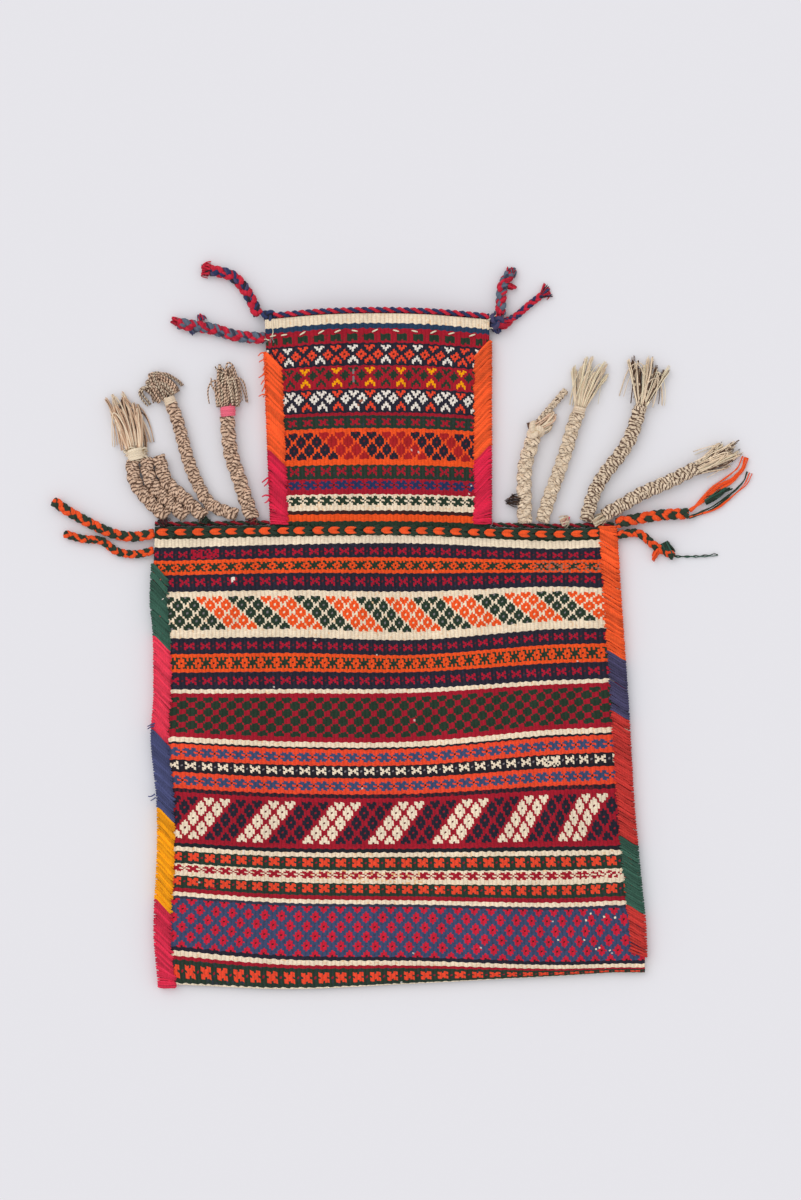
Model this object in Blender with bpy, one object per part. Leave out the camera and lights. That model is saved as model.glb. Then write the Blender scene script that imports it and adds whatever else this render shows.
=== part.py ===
import math

import bmesh
import bpy
from mathutils import Matrix, Vector
from mathutils.bvhtree import BVHTree

# A woven wool salt bag, lying flat with its mouth towards +Y. Lengths are in metres.
# The origin is under the middle of the bag's own box, without its loose cords.

# Overall sizes, over the side bindings and from the fold to the top of the mouth cord.
bag_width = 0.3988
bag_length = 0.5460
body_height = 0.3712
neck_width = 0.1840
neck_base_width = 0.1776
neck_offset = 0.0944

# The cloth, and the room between its two walls.
cloth_thickness = 0.0026
pocket_depth = 0.0074
pocket_rise = 0.036
seam_flat = 0.014
seam_gap = 0.00035
fold_share = 0.40
band_relief = 0.0006
clearance = 0.0004
edge_clearance = 0.0007
back_row_step = 0.024
slit_length = 0.020
slit_opening = 0.0026

# The yarn wrapped over the side seams.
binding_reach = 0.0120
wrap_thickness = 0.0014
wrap_pitch = 0.0118
wrap_slant = 0.0130
right_wrap_rise = 0.0080
binding_joint = 0.0004
left_binding_start = 0.0300
neck_left_binding_start = 0.0300
neck_right_binding_start = 0.0210

# Cords sewn along the edges.
lip_cord_diameter = 0.0050
lip_cord_pitch = 0.0112
chain_width = 0.0078
chain_height = 0.0019
chain_link = 0.0062
back_chain_diameter = 0.0040
knot_radius = 0.0034
floor_gap = 0.0002
path_spacing = 2.4
rings_per_turn = 6

# How far the bag's outer edge lies inside its box: (share of the body's height, inset).
left_insets = (
    (0.00, 0.0068), (0.13, 0.0030), (0.30, 0.0057), (0.41, 0.0052), (0.54, 0.0008),
    (0.63, 0.0028), (0.77, 0.0023), (0.84, 0.0000), (0.95, 0.0017), (1.00, 0.0020),
)
right_insets = (
    (0.00, 0.0000), (0.13, 0.0010), (0.19, 0.0032), (0.30, 0.0072), (0.41, 0.0108),
    (0.54, 0.0136), (0.63, 0.0156), (0.77, 0.0192), (0.95, 0.0236), (1.00, 0.0248),
)

# How far each line across the body sags, at five stations across the bag's width.
# Each line is given by its height as a share of the body's height over the fold.
sag_stations = (0.06, 0.28, 0.53, 0.80, 0.93)
body_sags = (
    (0.000, (0.0008, 0.0044, 0.0000, -0.0056, -0.0088)),
    (0.049, (-0.0068, 0.0000, 0.0008, 0.0040, 0.0032)),
    (0.182, (-0.0056, -0.0004, 0.0008, 0.0028, 0.0016)),
    (0.228, (-0.0052, -0.0004, 0.0012, 0.0016, 0.0000)),
    (0.289, (-0.0028, 0.0012, 0.0016, 0.0004, 0.0000)),
    (0.529, (-0.0024, 0.0012, 0.0012, -0.0080, -0.0100)),
    (0.643, (0.0008, 0.0004, 0.0000, -0.0064, -0.0080)),
    (0.767, (0.0008, -0.0004, 0.0020, -0.0064, -0.0072)),
    (0.852, (0.0008, -0.0004, 0.0008, -0.0036, -0.0024)),
    (0.963, (0.0024, 0.0000, -0.0008, 0.0036, 0.0020)),
    (1.000, (0.0008, -0.0004, -0.0004, 0.0024, 0.0012)),
)
mouth_arch = 0.0048

# Bands from the shoulders down to the fold: (colour, share of the height, pattern).
body_bands = (
    ("dark_green", 9.5, None),
    ("ivory", 7.0, None),
    ("navy", 17.0, None),
    ("orange", 16.0, None),
    ("navy", 16.0, None),
    ("ivory", 4.0, None),
    ("ivory", 33.5, ("dark_green", "orange", -1)),
    ("ivory", 7.0, None),
    ("navy", 15.0, None),
    ("orange", 20.0, None),
    ("navy", 17.0, None),
    ("ivory", 3.5, None),
    ("crimson", 47.5, None),
    ("ivory", 5.0, None),
    ("orange", 17.5, None),
    ("black", 15.0, None),
    ("orange", 15.5, None),
    ("crimson", 52.5, ("black", "ivory", 1)),
    ("ivory", 5.0, None),
    ("dark_green", 13.0, None),
    ("ivory", 13.0, None),
    ("dark_green", 12.0, None),
    ("crimson", 5.5, None),
    ("ivory", 4.0, None),
    ("blue", 56.5, None),
    ("ivory", 5.0, None),
    ("dark_green", 22.0, None),
)
neck_bands = (
    ("ivory", 10.0, None),
    ("blue", 8.0, None),
    ("crimson", 13.0, None),
    ("navy", 22.0, None),
    ("crimson", 22.5, None),
    ("navy", 22.5, None),
    ("dark_green", 16.0, None),
    ("orange", 37.0, ("navy", "brick", -1)),
    ("dark_green", 14.0, None),
    ("crimson", 16.0, None),
    ("ivory", 17.0, None),
    ("brown", 4.0, None),
    ("orange", 10.0, None),
)
back_bands = (
    ("crimson", 30.0), ("navy", 42.0), ("crimson", 60.0), ("dark_green", 42.0),
    ("crimson", 66.0), ("navy", 42.0), ("orange", 18.0), ("crimson", 70.0),
)
back_neck_bands = (("dark_green", 40.0), ("crimson", 60.0), ("navy", 40.0), ("crimson", 60.0))
block_width = 0.0256
block_slope = 45.0
ridged_band_height = 0.0145

# Columns of the cloth across the left shoulder, the neck and the right shoulder. Each is a
# share of its stretch and, beside a seam, a count of flat seam strips from there.
left_columns = ((0.0, 0), (0.0, 1), (0.42, 0), (0.72, 0))
neck_columns = ((0.0, 0), (0.0, 1), (0.22, 0), (0.36, 0), (0.50, 0), (0.64, 0), (0.78, 0), (1.0, -1))
right_columns = ((0.0, 0), (0.28, 0), (0.58, 0), (1.0, -1), (1.0, 0))
fold_steps = 6

# Colours as linear red, green and blue, with each one's roughness.
palette = {
    "ivory": (0.80, 0.69, 0.49, 0.90),
    "navy": (0.022, 0.028, 0.055, 0.92),
    "black": (0.018, 0.018, 0.022, 0.92),
    "crimson": (0.42, 0.018, 0.035, 0.90),
    "pink": (0.66, 0.035, 0.09, 0.88),
    "orange": (0.86, 0.11, 0.018, 0.88),
    "dark_green": (0.030, 0.055, 0.036, 0.92),
    "green": (0.020, 0.105, 0.062, 0.90),
    "blue": (0.045, 0.075, 0.20, 0.90),
    "yellow": (0.90, 0.36, 0.015, 0.88),
    "brick": (0.46, 0.035, 0.022, 0.90),
    "brown": (0.045, 0.020, 0.018, 0.92),
    "marl": (0.42, 0.31, 0.20, 0.95),
    "cream": (0.66, 0.52, 0.33, 0.95),
    "grey_blue": (0.10, 0.16, 0.21, 0.92),
    "rose": (0.85, 0.18, 0.24, 0.88),
}

# Colours of the bindings from the top down, with each run's share of its side.
left_runs = (("green", 70), ("pink", 92), ("blue", 76), ("yellow", 90), ("crimson", 84))
right_runs = (("orange", 134), ("blue", 59), ("red", 125), ("green", 68), ("brick", 59))
neck_left_runs = (("orange", 95), ("pink", 73))
neck_right_runs = (("orange", 104), ("pink", 79))
run_colours = {"red": "brick"}


def clamp(value, low, high):
    return max(low, min(high, value))


def ease(t):
    t = clamp(t, 0.0, 1.0)
    return t * t * (3.0 - 2.0 * t)


def mix(a, b, t):
    return a + (b - a) * t


def through(points, t):
    """A smooth line through (place, value) points, level beyond its ends."""
    places = [p[0] for p in points]
    values = [p[1] for p in points]
    if t <= places[0]:
        return values[0]
    if t >= places[-1]:
        return values[-1]
    i = max(k for k, place in enumerate(places[:-1]) if place <= t)
    span = places[i + 1] - places[i]

    def slope(k):
        a, b = max(k - 1, 0), min(k + 1, len(places) - 1)
        return (values[b] - values[a]) / (places[b] - places[a])

    s = (t - places[i]) / span
    return (
        (2 * s**3 - 3 * s**2 + 1) * values[i]
        + (s**3 - 2 * s**2 + s) * span * slope(i)
        + (3 * s**2 - 2 * s**3) * values[i + 1]
        + (s**3 - s**2) * span * slope(i + 1)
    )


# The outline.
bottom_y = -bag_length / 2
top_y = bag_length / 2
shoulder_y = bottom_y + body_height
fold_y = bottom_y + max(body_sags[0][1])
mouth_y = top_y - lip_cord_diameter - clearance
neck_height = mouth_y - shoulder_y
binding_depth = wrap_thickness + clearance
edge_depth = wrap_thickness + edge_clearance
seam_bottom = binding_depth
seam_top = seam_bottom + 2 * cloth_thickness + seam_gap


def outer_left(y):
    return -bag_width / 2 + through(left_insets, (y - bottom_y) / body_height)


def outer_right(y):
    return bag_width / 2 - through(right_insets, (y - bottom_y) / body_height)


neck_base_x = outer_left(shoulder_y) + neck_offset


def body_left(y):
    return outer_left(y) + edge_depth


def body_right(y):
    return outer_right(y) - edge_depth


def neck_left(y):
    lean = (neck_width - neck_base_width) * clamp((y - shoulder_y) / neck_height, 0.0, 1.0)
    return neck_base_x - lean + edge_depth


def neck_right(y):
    return neck_base_x + neck_base_width - edge_depth


def sag(height_share, x):
    u = (x + bag_width / 2) / bag_width
    column = [(line[0], through(tuple(zip(sag_stations, line[1])), u)) for line in body_sags]
    return through(column, height_share)


def body_line(height_share, x):
    """Height in Y of a woven line of the body, from 0 at the fold to 1 at the shoulders."""
    return mix(fold_y, shoulder_y, height_share) - sag(height_share, x)


def neck_line(height_share, x):
    """Height in Y of a woven line of the neck, from 0 at the shoulders to 1 at the mouth."""
    middle = (neck_left(mouth_y) + neck_right(mouth_y)) / 2
    half = (neck_right(mouth_y) - neck_left(mouth_y)) / 2
    drop = mouth_arch * height_share * ((x - middle) / half) ** 2
    return mix(body_line(1.0, x), mouth_y, height_share) - drop


# The two walls.
def side_distance(x, y):
    """Distance to the nearest bound side seam."""
    if y >= shoulder_y:
        return min(x - neck_left(y), neck_right(y) - x)
    left = math.hypot(x - neck_left(shoulder_y), shoulder_y - y)
    right = math.hypot(neck_right(shoulder_y) - x, shoulder_y - y)
    return min(x - body_left(y), body_right(y) - x, left, right)


def seam_distance(x, y):
    """Distance to the nearest closed edge: a side seam or a shoulder."""
    if y >= shoulder_y:
        return side_distance(x, y)
    edge = shoulder_y - y
    left = math.hypot(max(0.0, x - neck_left(shoulder_y)), edge)
    right = math.hypot(max(0.0, neck_right(shoulder_y) - x), edge)
    return min(x - body_left(y), body_right(y) - x, left, right)


def lip_share(y):
    return ease((y - (mouth_y - slit_length)) / slit_length)


def back_height(x, y):
    """Underside of the back wall: flat in the middle, raised over bindings and the lip cord."""
    lift = seam_bottom * (1 - ease((side_distance(x, y) - seam_flat) / pocket_rise))
    lip = (lip_cord_diameter - cloth_thickness) / 2
    return max(lift, lip * lip_share(y))


def wall_gap(x, y):
    """Room between the two walls."""
    open_share = ease((seam_distance(x, y) - seam_flat) / pocket_rise)
    fold_room = ease((y - body_line(0.0, x)) / pocket_rise)
    room = (pocket_depth - seam_gap) * open_share * mix(fold_share, 1.0, fold_room)
    return seam_gap + room + slit_opening * (1 - open_share) * lip_share(y)


def front_height(x, y):
    return back_height(x, y) + 2 * cloth_thickness + wall_gap(x, y)


# Making objects.
materials = {}


def material(name):
    if name not in materials:
        red, green, blue, roughness = palette[name]
        made = bpy.data.materials.new(name)
        made.use_nodes = True
        shader = made.node_tree.nodes["Principled BSDF"]
        shader.inputs["Base Color"].default_value = (red, green, blue, 1.0)
        shader.inputs["Roughness"].default_value = roughness
        shader.inputs["Metallic"].default_value = 0.0
        made.diffuse_color = (red, green, blue, 1.0)
        materials[name] = made
    return materials[name]


def add_object(name, data, colours):
    made = bpy.data.objects.new(name, data)
    bpy.context.scene.collection.objects.link(made)
    for colour in colours:
        data.materials.append(material(colour))
    return made


def add_mesh(name, bm, colours, smooth=True):
    bmesh.ops.recalc_face_normals(bm, faces=bm.faces[:])
    mesh = bpy.data.meshes.new(name)
    bm.to_mesh(mesh)
    bm.free()
    if smooth:
        mesh.shade_smooth()
        mesh.set_sharp_from_angle(angle=math.radians(50))
    return add_object(name, mesh, colours)


def skin(bm, rings):
    """Closed skin over a row of rings with equal counts of points, with flat ends."""
    rows = [[bm.verts.new(point) for point in ring] for ring in rings]
    count = len(rows[0])
    for low, high in zip(rows, rows[1:]):
        for k in range(count):
            n = (k + 1) % count
            bm.faces.new((low[k], low[n], high[n], high[k]))
    bm.faces.new(rows[0][::-1])
    bm.faces.new(rows[-1])


# The cloth.
def column_x(column, y):
    """Where a column of the cloth crosses the height y."""
    lowered = min(y, shoulder_y)
    left, right = neck_left(max(y, shoulder_y)), neck_right(y)
    stretches = (
        (left_columns, body_left(lowered), left),
        (neck_columns, left, right),
        (right_columns, right, body_right(lowered)),
    )
    for places, start, end in stretches:
        if column < len(places):
            share, strips = places[column]
            return mix(start, end, share) + strips * seam_flat
        column -= len(places)


all_columns = range(len(left_columns) + len(neck_columns) + len(right_columns))
neck_only = range(len(left_columns), len(left_columns) + len(neck_columns) + 1)


def band_rows(bands, height):
    """Rows from a stack's top to its bottom: (height share, relief, colour and pattern below)."""
    total = sum(band[1] for band in bands)
    rows = []
    top = 1.0
    for colour, weight, pattern in bands:
        share = weight / total
        rows.append((top, 0.0, colour, pattern))
        if share * height > ridged_band_height:
            rows.append((top - share / 2, band_relief, colour, pattern))
        top -= share
    return rows


def sheet_row(columns, line, share, height, relief):
    """Points of one woven row: {column: point}."""
    points = {}
    for column in columns:
        x = column_x(column, line(share, column_x(column, mix(fold_y, shoulder_y, 0.5))))
        y = line(share, x)
        x = column_x(column, y)
        z = height(x, y)
        z += relief * ease((seam_distance(x, y) - seam_flat) / seam_flat)
        points[column] = Vector((x, y, z))
    return points


def fold_radius(x):
    return cloth_thickness + wall_gap(x, body_line(0.0, x)) / 2


def fold_row(angle):
    """One row round the bottom fold, from 0 at the front to pi at the back."""
    points = {}
    for column in all_columns:
        x = column_x(column, fold_y)
        line = body_line(0.0, x)
        radius = fold_radius(x)
        y = line + radius - radius * math.sin(angle)
        z = back_height(x, line + radius) + radius + radius * math.cos(angle)
        points[column] = Vector((x, y, z))
    return points


def back_rows(columns, line, bands, height):
    """Rows of the back wall from a stack's bottom to its top: (points, colour above, None)."""
    total = sum(band[1] for band in bands)
    rows = []
    low = 0.0
    for colour, weight in bands[::-1]:
        share = weight / total
        count = max(1, round(share * height / back_row_step))
        for k in range(count):
            place = low + share * k / count
            rows.append((sheet_row(columns, line, place, back_height, 0.0), colour, None))
        low += share
    rows.append((sheet_row(columns, line, 1.0, back_height, 0.0), bands[0][0], None))
    return rows


def cloth_rows():
    """Every row of the sheet, mouth to fold to mouth: (points, colour below, pattern)."""
    rows = []
    for share, relief, colour, pattern in band_rows(neck_bands, neck_height):
        line = sheet_row(neck_only, neck_line, share, front_height, relief)
        rows.append((line, colour, pattern))
    for share, relief, colour, pattern in band_rows(body_bands, body_height):
        line = sheet_row(all_columns, body_line, share, front_height, relief)
        for point in line.values():
            floor = body_line(0.0, point.x) + fold_radius(point.x) + clearance
            point.y = max(point.y, floor + share * clearance)
        rows.append((line, colour, pattern))
    last = body_bands[-1][0]
    for step in range(fold_steps + 1):
        rows.append((fold_row(math.pi * step / fold_steps), last, None))
    rows.pop()
    back = back_rows(all_columns, body_line, back_bands, body_height)
    rows.append((fold_row(math.pi), back[0][1], None))
    rows += back[1:]
    neck = back_rows(neck_only, neck_line, back_neck_bands, neck_height)
    rows[-1] = (rows[-1][0], neck[0][1], None)
    rows += neck[1:]
    return rows


cloth_colours = ("ivory", "navy", "black", "crimson", "orange", "dark_green", "blue", "brick", "brown")


def cut_blocks(bm, faces, pattern):
    """Cut slanted blocks into a band and give them their two colours in turn."""
    first, second, lean = pattern
    slope = math.radians(block_slope)
    normal = Vector((math.sin(slope), lean * -math.cos(slope), 0.0))
    points = [v.co for f in faces for v in f.verts]
    centre_y = (min(p.y for p in points) + max(p.y for p in points)) / 2
    low_x = min(p.x for p in points)
    high_x = max(p.x for p in points)
    reach = int((high_x - low_x) / block_width) + 2
    centre = Vector(((low_x + high_x) / 2, centre_y, 0.0))
    faces = list(faces)
    for k in range(-reach, reach + 1):
        place = centre + Vector((k * block_width, 0.0, 0.0))
        edges = {e for f in faces for e in f.edges}
        verts = {v for f in faces for v in f.verts}
        made = bmesh.ops.bisect_plane(
            bm, geom=faces + list(edges) + list(verts), plane_co=place, plane_no=normal
        )
        faces = [g for g in made["geom"] if isinstance(g, bmesh.types.BMFace)]
    for face in faces:
        middle = face.calc_center_median() - centre
        offset = middle.dot(normal) / normal.x / block_width
        face.material_index = cloth_colours.index(first if math.floor(offset) % 2 else second)


def cloth_sheet():
    """The cloth's outer surface as one open sheet, folded at the bottom."""
    bm = bmesh.new()
    rows = cloth_rows()
    verts = [{k: bm.verts.new(p) for k, p in row[0].items()} for row in rows]
    banded = {}
    for i, (low, high) in enumerate(zip(verts, verts[1:])):
        for k in sorted(low):
            if all(k + s in row for s in (0, 1) for row in (low, high)):
                face = bm.faces.new((low[k], high[k], high[k + 1], low[k + 1]))
                face.material_index = cloth_colours.index(rows[i][1])
                if rows[i][2]:
                    banded.setdefault(rows[i][2], []).append(face)
    for pattern, faces in banded.items():
        cut_blocks(bm, faces, pattern)
    return bm


def build_cloth():
    bm = cloth_sheet()
    surface = BVHTree.FromBMesh(bm)
    mesh = bpy.data.meshes.new("woven_cloth")
    bm.to_mesh(mesh)
    bm.free()
    cloth = add_object("woven_cloth", mesh, cloth_colours)
    wall = cloth.modifiers.new("wall", "SOLIDIFY")
    wall.thickness = cloth_thickness
    wall.offset = -1.0
    return surface


# The bindings.
def wrap_ring(edge, side, y, plump, slant):
    """Section of the wrapped yarn round the side seam, as points in a ring."""
    thick = wrap_thickness * (0.55 + 0.45 * plump)
    reach = binding_reach * (0.93 + 0.07 * plump)
    top = seam_top + clearance
    bottom = seam_bottom - clearance
    middle = (top + bottom) / 2

    def at(inboard, z):
        drop = slant * clamp(inboard / binding_reach, 0.0, 1.0)
        place = y - drop
        return Vector((edge(place) - side * inboard, place, z))

    outside = -edge_clearance
    return [
        at(reach, top + 0.5 * thick),
        at(reach * 0.5, top + thick),
        at(outside - 0.3 * thick, top + 0.75 * thick),
        at(outside - thick, middle),
        at(outside - 0.3 * thick, bottom - 0.75 * thick),
        at(reach * 0.5, bottom - thick),
        at(reach, bottom - 0.5 * thick),
        at(reach, bottom),
        at(outside, bottom),
        at(outside, top),
        at(reach, top),
    ]


def build_bindings(prefix, edge, side, top, bottom, runs, slant=wrap_slant):
    """Runs of wrapped yarn down one seam, each one a node of its own."""
    total = sum(run[1] for run in runs)
    length = top - bottom
    y = top
    for index, (name, share) in enumerate(runs):
        end = y - length * share / total
        stop = end + binding_joint if index < len(runs) - 1 else end
        steps = 2 * max(1, round((y - stop) / wrap_pitch))
        rings = []
        for k in range(steps + 1):
            place = mix(y, stop, k / steps)
            square = ease((top - place) / wrap_slant) * ease((place - bottom) / (2 * wrap_slant))
            rings.append(wrap_ring(edge, side, place, k % 2, slant * square))
        bm = bmesh.new()
        skin(bm, rings)
        add_mesh(f"{prefix}_{name}", bm, [run_colours.get(name, name)])
        y = end


# Cords sewn along the edges.
def rope_rings(points, pitch, radius, waist):
    """Rings of a two-strand twist along a list of points."""
    rings = []
    travelled = 0.0
    for i, point in enumerate(points):
        before = points[max(i - 1, 0)]
        after = points[min(i + 1, len(points) - 1)]
        if i:
            travelled += (point - points[i - 1]).length
        along = (after - before).normalized()
        across = along.cross(Vector((0, 0, 1))).normalized()
        up = across.cross(along)
        turn = 2 * math.pi * travelled / pitch
        ring = []
        for k in range(6):
            angle = 2 * math.pi * k / 6
            size = radius * (1.0 if k % 3 == 0 else waist)
            ring.append(point + across * size * math.cos(angle + turn) + up * size * math.sin(angle + turn))
        rings.append(ring)
    return rings


def build_rope(name, points, colour, pitch, radius, waist=0.80):
    bm = bmesh.new()
    skin(bm, rope_rings(points, pitch, radius, waist))
    return add_mesh(name, bm, [colour])


def build_lip_cords():
    """The twisted cord along each lip of the mouth."""
    start = neck_left(mouth_y) + 2 * knot_radius + clearance
    end = neck_right(mouth_y) - clearance
    radius = lip_cord_diameter / 2
    for name, front in (("mouth_cord_front", True), ("mouth_cord_back", False)):
        points = []
        pitch = lip_cord_pitch if front else 2 * lip_cord_pitch
        count = int((end - start) / pitch * rings_per_turn)
        for k in range(count + 1):
            x = mix(start, end, k / count)
            y = neck_line(1.0, x)
            z = back_height(x, y) + cloth_thickness / 2
            if front:
                z = front_height(x, y) - cloth_thickness / 2
            points.append(Vector((x, y + radius + clearance, z)))
        build_rope(name, points, "crimson", pitch, radius)


def build_front_chain(surface):
    """The two-colour chained braid laid across the front at the shoulders."""
    start = body_left(shoulder_y)
    end = body_right(shoulder_y) - binding_reach - 2 * clearance
    count = 2 * int((end - start) / chain_link)
    rings = []
    for k in range(count + 1):
        x = mix(start, end, k / count)
        plump = k % 2
        half = chain_width / 2 * (0.86 + 0.14 * plump)
        y = body_line(1.0, x) - chain_width / 2 - clearance
        heights = []
        for dy in (-half, 0.0, half):
            hit = surface.ray_cast(Vector((x, y + dy, 1.0)), Vector((0, 0, -1)))
            heights.append(hit[0].z if hit[0] else seam_top)
        base = max(heights) + clearance
        high = chain_height * (0.62 + 0.38 * plump)
        rings.append([
            Vector((x, y - half, base)),
            Vector((x, y + half, base)),
            Vector((x, y + half, base + 0.5 * high)),
            Vector((x, y, base + high)),
            Vector((x, y - half, base + 0.5 * high)),
        ])
    bm = bmesh.new()
    skin(bm, rings)
    add_mesh("shoulder_chain_front", bm, ["orange"])


def build_back_chains():
    """The edging of the back wall's shoulders, beside the neck on each side."""
    radius = back_chain_diameter / 2
    spans = (
        ("shoulder_chain_back_left", body_left(shoulder_y), outside_neck(-1)),
        ("shoulder_chain_back_right", outside_neck(1), body_right(shoulder_y)),
    )
    for name, start, end in spans:
        pitch = 6 * back_chain_diameter
        count = int((end - start) / pitch * rings_per_turn)
        points = []
        for k in range(count + 1):
            x = mix(start, end, k / count)
            y = body_line(1.0, x) + radius + clearance
            points.append(Vector((x, y, back_height(x, shoulder_y - clearance) + radius)))
        build_rope(name, points, "crimson", pitch, radius, 0.9)


def outside_neck(side):
    """Just outside the neck binding, at the shoulders."""
    gap = edge_depth + 2 * clearance
    if side < 0:
        return neck_left(shoulder_y) - gap
    return neck_right(shoulder_y) + gap


# The loose cords, their ties and their tufts.
def anchor(name):
    """A corner of the bag's outline that cords start from."""
    corners = {
        "mouth_left": (neck_left(mouth_y) - edge_depth, neck_line(1.0, neck_left(mouth_y))),
        "mouth_right": (neck_right(mouth_y) + edge_depth, neck_line(1.0, neck_right(mouth_y))),
        "shoulder_left": (outer_left(shoulder_y), shoulder_y),
        "shoulder_right": (outer_right(shoulder_y), shoulder_y),
        "neck_left": (neck_base_x, shoulder_y),
        "neck_right": (neck_base_x + neck_base_width, shoulder_y),
    }
    x, y = corners[name]
    return Vector((x, y, 0.0))


def route_points(base, diameter, start_height, offsets):
    """A cord's route in metres: it comes down from its exit and lies on the ground."""
    rest = diameter / 2 + floor_gap
    points = []
    travelled = 0.0
    for i, (dx, dy) in enumerate(offsets):
        if i:
            travelled += math.dist(offsets[i - 1], (dx, dy)) / 1000
        z = mix(max(start_height, rest), rest, ease(travelled / (3 * diameter)))
        points.append(base + Vector((dx / 1000, dy / 1000, z)))
    return points


def smooth_path(points, spacing):
    """Even points along a smooth curve through the route."""
    dense = []
    last = len(points) - 1
    for i in range(last):
        p0, p1 = points[max(i - 1, 0)], points[i]
        p2, p3 = points[i + 1], points[min(i + 2, last)]
        for s in range(8):
            t = s / 8
            dense.append(0.5 * (
                2 * p1 + (p2 - p0) * t + (2 * p0 - 5 * p1 + 4 * p2 - p3) * t * t
                + (3 * p1 - p0 - 3 * p2 + p3) * t ** 3
            ))
    dense.append(points[-1])
    length = sum((b - a).length for a, b in zip(dense, dense[1:]))
    count = max(3, round(length / spacing))
    even = [dense[0]]
    target, travelled = length / count, 0.0
    for a, b in zip(dense, dense[1:]):
        step = (b - a).length
        while travelled + step >= target - 1e-9 and len(even) < count:
            even.append(a.lerp(b, (target - travelled) / step))
            target += length / count
        travelled += step
    even.append(dense[-1])
    return even


def build_tube(name, colour, diameter, points):
    """A plain cord as a bevelled curve with filled caps."""
    curve = bpy.data.curves.new(name, "CURVE")
    curve.dimensions = "3D"
    curve.resolution_u = 1
    curve.render_resolution_u = 0
    curve.bevel_depth = diameter / 2
    curve.bevel_resolution = 2
    curve.use_fill_caps = True
    spline = curve.splines.new("POLY")
    path = smooth_path(points, path_spacing * diameter)
    spline.points.add(len(path) - 1)
    for slot, point in zip(spline.points, path):
        slot.co = (*point, 1.0)
    add_object(name, curve, [colour])
    return path


def build_lump(name, colour, start, end, radii, sides=8):
    """A turned lump along a short axis, its radii given from its start to its end."""
    axis = end - start
    frame = axis.to_track_quat("Z", "Y").to_matrix()
    rings = []
    for k, radius in enumerate(radii):
        centre = start + axis * k / (len(radii) - 1)
        ring = []
        for s in range(sides):
            angle = 2 * math.pi * s / sides
            spoke = Vector((radius * math.cos(angle), radius * math.sin(angle), 0.0))
            ring.append(centre + frame @ spoke)
        rings.append(ring)
    bm = bmesh.new()
    skin(bm, rings)
    return add_mesh(name, bm, [colour])


def build_tuft(name, colour, start, along, length, turn, radii, spread):
    """A flattened brush of loose hair that widens and turns from its tie, lying on the ground."""
    sides = 8
    last = len(radii) - 1
    centre = start.copy()
    rings = []
    for k, radius in enumerate(radii):
        heading = Matrix.Rotation(math.radians(turn) * k / last, 3, "Z") @ along
        if k:
            centre = centre + heading * length / last
        across = Vector((-heading.y, heading.x, 0.0))
        half_height = min(radius, start.z - floor_gap)
        half_width = radius * mix(1.0, spread, k / last)
        ring = []
        for s in range(sides):
            angle = 2 * math.pi * s / sides
            side = across * half_width * math.cos(angle)
            ring.append(centre + side + Vector((0, 0, half_height * math.sin(angle))))
        rings.append(ring)
    bm = bmesh.new()
    skin(bm, rings)
    return add_mesh(name, bm, [colour])


# Each loose cord: colour, diameter, corner, height at its exit, then its route as offsets
# from that corner in millimetres.
corner_cords = {
    "mouth_plait_left_navy": ("navy", 0.0086, "mouth_left", 0.0066, (
        (-3.6, 4.2), (-6.4, 7.4), (-8.7, 12.0), (-10.5, 18.0), (-14.0, 25.0), (-19.0, 31.0),
        (-25.5, 36.0), (-33.5, 39.5), (-41.0, 40.5))),
    "mouth_plait_left_grey": ("grey_blue", 0.0092, "mouth_left", 0.0066, (
        (1.5, -14.5), (-9.5, -15.0), (-18.5, -13.0), (-27.0, -10.0), (-35.0, -8.0),
        (-45.0, -6.0), (-53.0, -2.5), (-60.0, 0.0), (-67.0, -2.0))),
    "mouth_plait_right_grey": ("grey_blue", 0.0080, "mouth_right", 0.0066, (
        (6.3, 5.1), (7.0, 10.0), (7.2, 16.0), (7.8, 22.5), (9.0, 29.0), (11.0, 34.5),
        (14.5, 38.0))),
    "mouth_plait_right_navy": ("navy", 0.0054, "mouth_right", 0.0055, (
        (6.4, -2.2), (11.0, -1.2), (16.0, 1.5), (21.5, 5.0), (27.0, 9.5), (31.0, 14.0),
        (35.0, 18.0), (40.0, 20.5))),
    "corner_plait_left_upper": ("orange", 0.0080, "shoulder_left", 0.0060, (
        (1.0, -6.0), (-6.0, -7.0), (-13.0, -8.0), (-22.5, -9.0), (-30.5, -7.0), (-37.5, -4.0),
        (-45.5, 0.0), (-53.5, 3.0), (-61.0, 7.0), (-67.0, 12.0), (-73.5, 16.0), (-79.0, 20.0))),
    "corner_plait_left_lower": ("orange", 0.0064, "shoulder_left", 0.0052, (
        (0.5, -19.5), (-9.5, -22.0), (-19.0, -23.5), (-27.0, -21.5), (-33.0, -17.5),
        (-37.5, -13.5), (-43.0, -11.5), (-51.0, -10.5), (-59.0, -10.0), (-65.5, -8.0),
        (-70.5, -6.5))),
    "corner_plait_right_upper": ("orange", 0.0088, "shoulder_right", 0.0060, (
        (-0.1, 2.5), (9.0, 3.5), (17.0, 5.5), (26.5, 8.0), (37.5, 9.0), (48.0, 9.0),
        (57.0, 9.5))),
    "corner_plait_right_lower": ("orange", 0.0066, "shoulder_right", 0.0052, (
        (0.9, -7.5), (9.5, -6.5), (17.5, -6.0), (23.5, -9.0), (28.0, -13.5), (33.5, -18.5),
        (41.0, -22.5), (45.5, -24.0))),
}
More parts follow.
